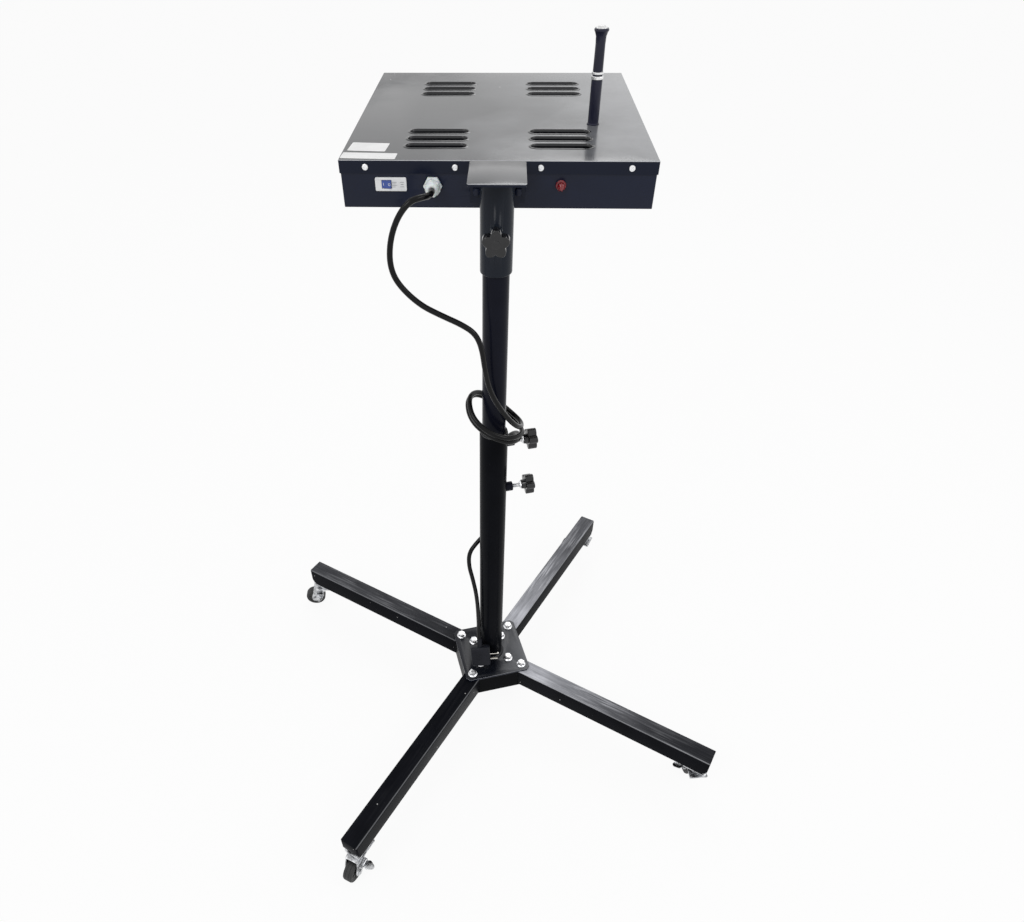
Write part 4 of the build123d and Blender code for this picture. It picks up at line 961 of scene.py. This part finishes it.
def makeSwitch():
    roundedCopy("switch_bezel", "switchBezel", "head", "switchWhite", 0.0004, 50)
    low, _, middle = boxMiddle("switch_bezel")
    bm = bmesh.new()
    for x, up, wide, tall in panel["marks"]:
        block(bm, (wide, 0.0002, tall), (x, low.y - 0.00002, middle.z + up))
    finishPiece(bm, "switchMarks", "head", "printGrey")
    at = shifted(*joints["switch_rock"]["pos_m"]) @ spun(panel["rockerTurn"], "Z")
    wide, deep, _ = panel["rocker"]
    bm = bmesh.new()
    block(bm, panel["rocker"], (0, 0, 0), 0.0007)
    front = [e for e in bm.edges if all(v.co.y < 0.0001 - deep / 2 for v in e.verts)]
    long = [e for e in front if abs(e.verts[0].co.x - e.verts[1].co.x) > 0.005]
    bmesh.ops.subdivide_edges(bm, edges=long, cuts=panel["dishCuts"])
    for v in bm.verts:
        if v.co.y < 0.0002 - deep / 2:
            v.co.y += panel["dish"] * (1 - (2 * v.co.x / wide) ** 2)
    finishPiece(bm, "switchRocker", "rocker", "rockerBlue", "switch_rocker", at=at)
    bm = bmesh.new()
    block(bm, panel["line"], (-panel["rockerMark"], 0.00028 - deep / 2, 0))
    lathe(bm, panel["ring"], 24, frontMatrix(panel["rockerMark"], 0.00046 - deep / 2, 0))
    finishPiece(bm, "rockerMarks", "rocker", "switchWhite", at=at)


def makeGland():
    low, _, middle = boxMiddle("cord_gland")
    length = caseFront - low.y
    at, tip = frontMatrix(middle.x, caseFront, middle.z), shifted(0, 0, length)
    bm = bmesh.new()
    hexagon(bm, *panel["glandHexagon"], twist=30)
    rod(bm, *panel["glandNeck"], 36)
    hexagon(bm, panel["nutFlats"], 0.0072, length - 0.0072, 0.0009, twist=12)
    for v in lathe(bm, panel["dome"], 96, tip):
        if v.co.xy.length > 0.0070:
            ridge = max(0.0, cos(atan2(v.co.y, v.co.x) * panel["flutes"])) ** 3
            v.co.xy -= v.co.xy.normalized() * panel["fluteDepth"] * ridge
    rod(bm, *panel["glandTail"], 32)
    finishPiece(bm, "cordGland", "head", "nylon", "cord_gland", 34, at=at)
    bm = bmesh.new()
    lathe(bm, panel["seal"], 36, tip)
    finishPiece(bm, "glandSeal", "head", "plug", at=at)
    repaint("gland_locknut", "nylon")


def makeLamp():
    low, high, middle = boxMiddle("lamp_lens")
    length, r = high.y - low.y, middle.x - low.x
    bm = bmesh.new()
    bmesh.ops.create_cone(bm, cap_ends=True, segments=10, radius1=r - 0.0001, radius2=r * 0.92, depth=length * 0.62,
                          matrix=shifted(0, 0, length * 0.31))
    top = max(bm.faces, key=lambda f: f.calc_center_median().z)
    for inset, raised in panel["lensSteps"]:
        bmesh.ops.inset_individual(bm, faces=[top], thickness=r * inset, depth=length * raised)
    softenEdges(bm, sharpEdges(bm, 12), 0.0003)
    at = frontMatrix(middle.x, high.y, middle.z)
    finishPiece(bm, "lampLens", "head", "lamp", "lamp_lens", 20, at=at)
    low, high, bodyMiddle = boxMiddle("lamp_body")
    rim, front = bodyMiddle.x - low.x, caseFront - low.y
    bm = bmesh.new()
    lathe(bm, [(0.0, 0.0), (rim, 0.0), (rim, front * 0.4), (rim - 0.0008, front * 0.9), (rim - 0.0014, front),
               (0.0, front)], 36)
    rod(bm, 0.005, 0.0, caseFront - high.y, 24)
    at = frontMatrix(middle.x, caseFront, middle.z)
    finishPiece(bm, "lampBody", "head", "lamp", "lamp_body", at=at)


makeSwitch()
makeGland()
makeLamp()
print("front panel made")


# the lid's grip, turned about its own axis: the knob's profile and the cap's rim are measured from the grip's top
grip = {"foot": mm((0, 0), (9.7, 0), (9.7, 1.2), (8.5, 2.4), (8.5, 61.2), (7.9, 62), (0, 62)),
        "waist": (0.0077, 0.0665, 0.0687), "bands": ((0.0620, 0.0665), (0.0687, 0.0719)),
        "neck": mm((0, 71.9), (7.2, 71.9), (7.7, 72.7)),
        "knob": mm((7.4, -20), (7.9, -10), (9.8, -4.6), (11, -3), (11, -1.4), (10, 0), (0, 0)),
        "bandRadii": (0.0065, 0.0087, 0.0091), "capRadius": 0.0055,
        "capRim": mm((0, -1), (8.4, -1), (8.4, 0.2), (6.7, 0.6)),
        "stud": mm((0, -4.2), (4.5, -4.2), (4.5, -1.3), (1.7, -1.3), (1.7, 4), (0, 4))}


def makeGrip():
    low, high, middle = boxMiddle("handle_grip")
    at, tall = shifted(middle.x, middle.y, low.z), high.z - low.z
    top, cap = shifted(0, 0, tall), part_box("handle_trim")[1].z - high.z
    bm = bmesh.new()
    lathe(bm, grip["foot"], 48)
    rod(bm, *grip["waist"], 48)
    lathe(bm, grip["neck"] + [(r, tall + z) for r, z in grip["knob"]], 48)
    finishPiece(bm, "gripBody", "head", "grip", "handle_grip", at=at)
    bm = bmesh.new()
    inner, edge, outer = grip["bandRadii"]
    for start, end in grip["bands"]:
        lathe(bm, [(inner, start), (edge, start), (outer, start + 0.0006), (outer, end - 0.0006), (edge, end),
                   (inner, end), (inner, start)], 48)
    finishPiece(bm, "gripBands", "head", "chrome", "handle_trim", at=at)
    bm = bmesh.new()
    r = grip["capRadius"]
    lathe(bm, grip["capRim"] + [(r, cap / 2), (r - 0.0006, cap - 0.0004), (r - 0.0014, cap), (0.0, cap)], 36)
    finishPiece(bm, "gripCap", "head", "gripCap", at=at @ top)
    bm = bmesh.new()
    lathe(bm, grip["stud"], 24)
    finishPiece(bm, "gripStud", "head", "zinc", at=at)


makeGrip()
print("grip made")


heater = {"rods": 10, "rodRadius": 0.0040, "capLength": 0.018, "rail": 0.010, "railTall": 0.0026,
          "wires": ((0, 9, (0, 1, 0)), (1, 10, (1, 0, 0)))}


def makeHeater():
    low, high, middle = boxMiddle("heater_rods")
    r, cap, count = heater["rodRadius"], heater["capLength"], heater["rods"]
    pitch, half = (high.y - low.y - 4 * r) / (count - 1), high.x - middle.x
    rods, ends = bmesh.new(), bmesh.new()
    for i in range(count):
        at = shifted(-half, middle.y + (i - (count - 1) / 2) * pitch, low.z + r) @ spun(90, "Y")
        rod(rods, r - 0.0004, cap, 2 * half - cap, 24, at)
        for start, end in ((0.0, cap), (2 * half - cap, 2 * half)):
            lathe(ends, [(0.0, start), (r - 0.0006, start), (r, start + 0.0006), (r, end - 0.0006), (r - 0.0006, end),
                         (0.0, end)], 24, at)
    for side in (-1, 1):
        block(ends, (heater["rail"], high.y - low.y, heater["railTall"]),
              (side * (half - heater["rail"]), middle.y, high.z - 0.0015), 0.0005)
    finishPiece(rods, "heaterRods", "head", "quartz", "heater_rods")
    finishPiece(ends, "heaterEnds", "head", "endCap")


def makeGuard():
    # round wires welded into a grid, as (axis they are spread on, how many, way they run)
    low, high, middle = boxMiddle("heater_guard")
    wire = middle.z - low.z
    bm = bmesh.new()
    for axis, count, way in heater["wires"]:
        turned = Vector(way).to_track_quat("Z", "Y").to_matrix().to_4x4()
        for i in range(count):
            place = middle.copy()
            place[axis] = low[axis] + wire + (high[axis] - low[axis] - 2 * wire) * i / (count - 1)
            bmesh.ops.create_cone(bm, cap_ends=True, segments=10, radius1=wire, radius2=wire,
                                  depth=(high - low)[1 - axis], matrix=shifted(*place) @ turned)
    finishPiece(bm, "heaterGuard", "head", "guardWire", "heater_guard", 50)


repaint("heater_board", "board")
makeHeater()
makeGuard()
print("heater made")


def mirrored(profile):
    return profile + [(r, -z) for r, z in reversed(profile)]


# top pieces are measured from the leg's underside, wheel pieces from the wheel's middle, nuts from the fork's cheek,
# the brake's lug and pad from its pin, and the fork from the floor under its swivel
caster = {"trail": 0.032, "wheel": 0.025, "cheekIn": 0.0120, "cheekOut": 0.0145, "crown": 0.0035,
          "plate": mm((-26, -19), (26, -19), (26, 19), (-26, 19)), "plateThick": 0.0025,
          "plateEase": (0.0050, 0.0005),
          "race": mm((0, -2.4), (13, -2.4), (15.6, -3.4), (17, -5.4), (17, -8), (15.8, -8.8), (14, -9), (14, -9.8),
                     (15.6, -10.2), (16, -11.8), (0, -11.9)),
          "pin": 0.004, "pinEnd": mm((4, 2.4), (6.8, 2.4), (7, 1.8), (6, 0.3), (4.5, 0), (0, 0)),
          "stem": mm((0, -1), (5, -1), (5, 13), (4.2, 14), (0, 14)),
          "rivet": mm((0, -3.3), (2.2, -3.3), (3, -2.8), (3, -2.4), (0, -2.4)), "rivetAt": (0.021, 0.014),
          "crownPlate": mm((-24.9, -19.9), (32, -14.9), (32, 14.9), (-24.9, 19.9)), "crownEase": (0.0018, 0.0008),
          "cheekTop": (-0.0048, 0.032), "cheekTopUp": 0.0012, "cheekFront": (0.0408, 0.031), "cheekRadius": 0.0090,
          "cheekBack": (0.0204, 0.0335), "washer": (0.0069, -0.0004, 0.0006), "nut": (0.0112, 0.0005, 0.0028, 0.0006),
          "nutEnd": mm((0, 2.4), (3.2, 2.4), (3.2, 3.1), (2.4, 3.4), (0, 3.4)),
          "brake": (0.018, 0.0185, 0.042), "lug": (0.0025, 0.0072, 0.0068), "lugAt": (0.00855, -0.0012),
          "brakePin": (0.0020, -0.0082, 0.0082),
          "tread": mirrored(mm((17.8, -9.3), (19, -10.3), (21.6, -10.5), (23.7, -9.6), (24.8, -7.3), (25, -5),
                               (25, -4.2), (24.4, -3.8), (24.4, -3.2), (25, -2.8))),
          "treadInner": mm((17, 8.5), (17, -8.5)),
          "core": mirrored(mm((4.2, -10.5), (6.8, -10.5), (7, -7.9), (15.8, -7.5), (17.6, -9.5), (18, -8.3))),
          "spokes": 6, "spoke": (0.0085, 0.0016, 0.0016), "spokeAt": (0.01135, 0.0083),
          "barrel": mm((2.1, -7), (3.7, -7), (3.7, 7), (2.1, 7), (2.1, -7)), "padLow": 0.0012, "padThick": 0.0016,
          "pad": mm((6.6, 1.2), (6.7, 3.8), (9.2, 9.2), (9.4, 11.2), (8.2, 14.4), (4.6, 21), (2.2, 23.4)),
          "padRibs": ((0.0100, 0.0105), (0.0088, 0.0131), (0.0076, 0.0157))}


def cornerSheet(bm, outline, low, thick, corner, ease):
    # the first sheet of a piece: its upright corners rounded, then its upper edge eased
    raiseFace(bm, polygon(bm, [(x, y, low) for x, y in outline]), (0, 0, thick))
    bmesh.ops.recalc_face_normals(bm, faces=bm.faces)
    softenEdges(bm, [e for e in bm.edges if abs(e.verts[0].co.z - e.verts[1].co.z) > thick / 2], corner, 4)
    upper = [e for e in bm.edges if all(v.co.z > low + thick * 0.99 for v in e.verts)]
    softenEdges(bm, [e for e in upper if e.calc_face_angle(0) > 0.5], ease)


def makeCasterTop(key, at):
    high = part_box("leg_" + key)[0].z
    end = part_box("caster_top_" + key)[0].z - high
    thick, pin = caster["plateThick"], caster["pin"]
    bm = bmesh.new()
    cornerSheet(bm, caster["plate"], -thick, thick, *caster["plateEase"])
    lathe(bm, caster["race"], 48)
    lathe(bm, [(0.0, -0.006), (pin, -0.006)] + [(r, end + z) for r, z in caster["pinEnd"]], 28)
    lathe(bm, caster["stem"], 20)
    x, y = caster["rivetAt"]
    for place in ((-x, -y, 0), (-x, y, 0), (x, -y, 0), (x, y, 0)):
        lathe(bm, caster["rivet"], 16, shifted(*place))
    finishPiece(bm, "casterTop_" + key, "base", "casterZinc", "caster_top_" + key,
                at=at @ shifted(0, 0, high))


def cheekFace(bm, y, crownLow):
    # forked cheek: wide at the crown, round about the axle
    r, top = caster["cheekRadius"], crownLow + caster["cheekTopUp"]
    places = [(x, top) for x in caster["cheekTop"]] + [caster["cheekFront"]]
    for turn in range(15, -196, -15):
        places.append((caster["trail"] + r * cos(radians(turn)), caster["wheel"] + r * sin(radians(turn))))
    return polygon(bm, [(x, y, z) for x, z in places + [caster["cheekBack"]]])


def makeFork(key, at):
    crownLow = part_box("caster_fork_" + key)[1].z - caster["crown"]
    inner, outer = caster["cheekIn"], caster["cheekOut"]
    bm = bmesh.new()
    cornerSheet(bm, caster["crownPlate"], crownLow, caster["crown"], *caster["crownEase"])
    for side in (-1, 1):
        raised = raiseFace(bm, cheekFace(bm, side * inner, crownLow), (0, side * (outer - inner), 0))
        rim = [e for e in bm.edges if all(v in raised for v in e.verts)]
        bmesh.ops.recalc_face_normals(bm, faces=bm.faces)
        softenEdges(bm, rim, 0.0006)
    axle = shifted(caster["trail"], 0, caster["wheel"])
    rod(bm, caster["pin"], -outer, outer, 20, axle @ spun(90, "X"))
    for side in (-1, 1):
        out = axle @ shifted(0, side * outer, 0) @ spun(-90 * side, "X")
        rod(bm, *caster["washer"], 28, out)
        hexagon(bm, *caster["nut"], out, 13)
        lathe(bm, caster["nutEnd"], 18, out)
    brake = shifted(*caster["brake"])
    x, y = caster["lugAt"]
    for side in (-1, 1):
        block(bm, caster["lug"], (side * x, y, 0), 0.0006, 2, brake)
    rod(bm, *caster["brakePin"], 16, brake @ spun(90, "Y"))
    finishPiece(bm, "casterFork_" + key, "fork_" + key, "casterZinc", "caster_fork_" + key, at=at)


def makeWheel(key, at):
    at = at @ shifted(caster["trail"], 0, caster["wheel"]) @ spun(90, "X")
    bm = bmesh.new()
    lathe(bm, caster["tread"] + caster["treadInner"] + caster["tread"][:1], 64)
    finishPiece(bm, "wheelTyre_" + key, "wheel_" + key, "wheel", "caster_wheel_" + key, 40, at=at)
    bm = bmesh.new()
    lathe(bm, caster["core"] + caster["core"][:1], 48)
    x, z = caster["spokeAt"]
    for side in (-1, 1):
        for i in range(caster["spokes"]):
            block(bm, caster["spoke"], (x, 0, side * z), 0.0003, 1, spun(360 / caster["spokes"] * i, "Z"))
    finishPiece(bm, "wheelCore_" + key, "wheel_" + key, "wheelCore", at=at)


def makeBrake(key, at):
    # pressed lever: rolled barrel, stem and a ribbed pad with a pointed end
    bm = bmesh.new()
    lathe(bm, caster["barrel"], 24, spun(90, "Y"))
    outline = [(-x, y) for x, y in caster["pad"]] + caster["pad"][::-1]
    low, thick = caster["padLow"], caster["padThick"]
    raised = raiseFace(bm, polygon(bm, [(x, y, low) for x, y in outline]), (0, 0, thick))
    softenEdges(bm, [e for e in bm.edges if all(v in raised for v in e.verts)], 0.0005)
    for wide, y in caster["padRibs"]:
        block(bm, (wide, 0.0009, 0.0004), (0, y, low + thick - 0.0001), 0.0001, 1)
    finishPiece(bm, "casterBrake_" + key, "brake_" + key, "casterZinc", "caster_brake_" + key,
                at=at @ shifted(*caster["brake"]))


for key in stand["legAngles"]:
    plateMatrix = legMatrix(key) @ shifted(stand["casterRadius"], 0, 0)
    forkMatrix = plateMatrix @ spun(stand["forkTurn"][key], "Z")
    makeCasterTop(key, plateMatrix)
    makeFork(key, forkMatrix)
    makeWheel(key, forkMatrix)
    makeBrake(key, forkMatrix)
print("casters made")


# lamps as (place, target, size, power); the floor and the sky are brighter where they are seen than where they light
studio = {"floorHalf": 12.0, "floor": 0.86, "floorGlow": 0.92, "skyDiffuse": 0.62, "seen": 1.0,
          "lamps": (((-1.6, -1.8, 3.2), (0.0, 0.1, 0.7), 1.6, 26.0), ((2.0, -0.6, 2.4), (0.0, 0.1, 0.6), 1.2, 12.0),
                    ((0.3, 2.4, 2.8), (0.0, 0.2, 0.8), 1.4, 14.0))}


def seenMask(tree):
    path = addNode(tree, "ShaderNodeLightPath").outputs
    first = mathNode(tree, "ADD", path["Is Camera Ray"], path["Is Glossy Ray"], True)
    return mathNode(tree, "ADD", first, path["Is Transmission Ray"], True)


def makeFloor():
    bm = bmesh.new()
    bmesh.ops.create_grid(bm, x_segments=1, y_segments=1, size=studio["floorHalf"])
    floor = placed("floor", meshFrom(bm, "floor"))
    mat, tree, shader = newMaterial("floorPaint", Base_Color=(studio["floor"],) * 3 + (1,), Roughness=0.9,
                                    Specular_IOR_Level=0.0)
    glow, mix = addNode(tree, "ShaderNodeEmission"), addNode(tree, "ShaderNodeMixShader")
    link(tree, times(tree, seenMask(tree), studio["floorGlow"]), mix.inputs["Fac"])
    link(tree, shader.outputs[0], mix.inputs[1])
    link(tree, glow.outputs[0], mix.inputs[2])
    link(tree, mix.outputs[0], tree.nodes["Material Output"].inputs["Surface"])
    floor.data.materials.append(mat)


def makeSky():
    scene.world = bpy.data.worlds.new("studioSky")
    scene.world.use_nodes = True
    tree = scene.world.node_tree
    sky = tree.nodes["Background"].inputs
    sky["Color"].default_value = (1, 1, 1, 1)
    link(tree, remap(tree, seenMask(tree), 0, 1, studio["skyDiffuse"], studio["seen"]), sky["Strength"])


def makeLamps():
    for i, (place, target, size, power) in enumerate(studio["lamps"]):
        data = bpy.data.lights.new(f"softLamp{i}", "AREA")
        data.energy, data.size, data.shape = power, size, "DISK"
        ahead = Vector(target) - Vector(place)
        turned = ahead.to_track_quat("-Z", "Y").to_matrix().to_4x4()
        placed(data.name, data).matrix_world = shifted(*place) @ turned


makeFloor()
makeSky()
makeLamps()
print("studio made")
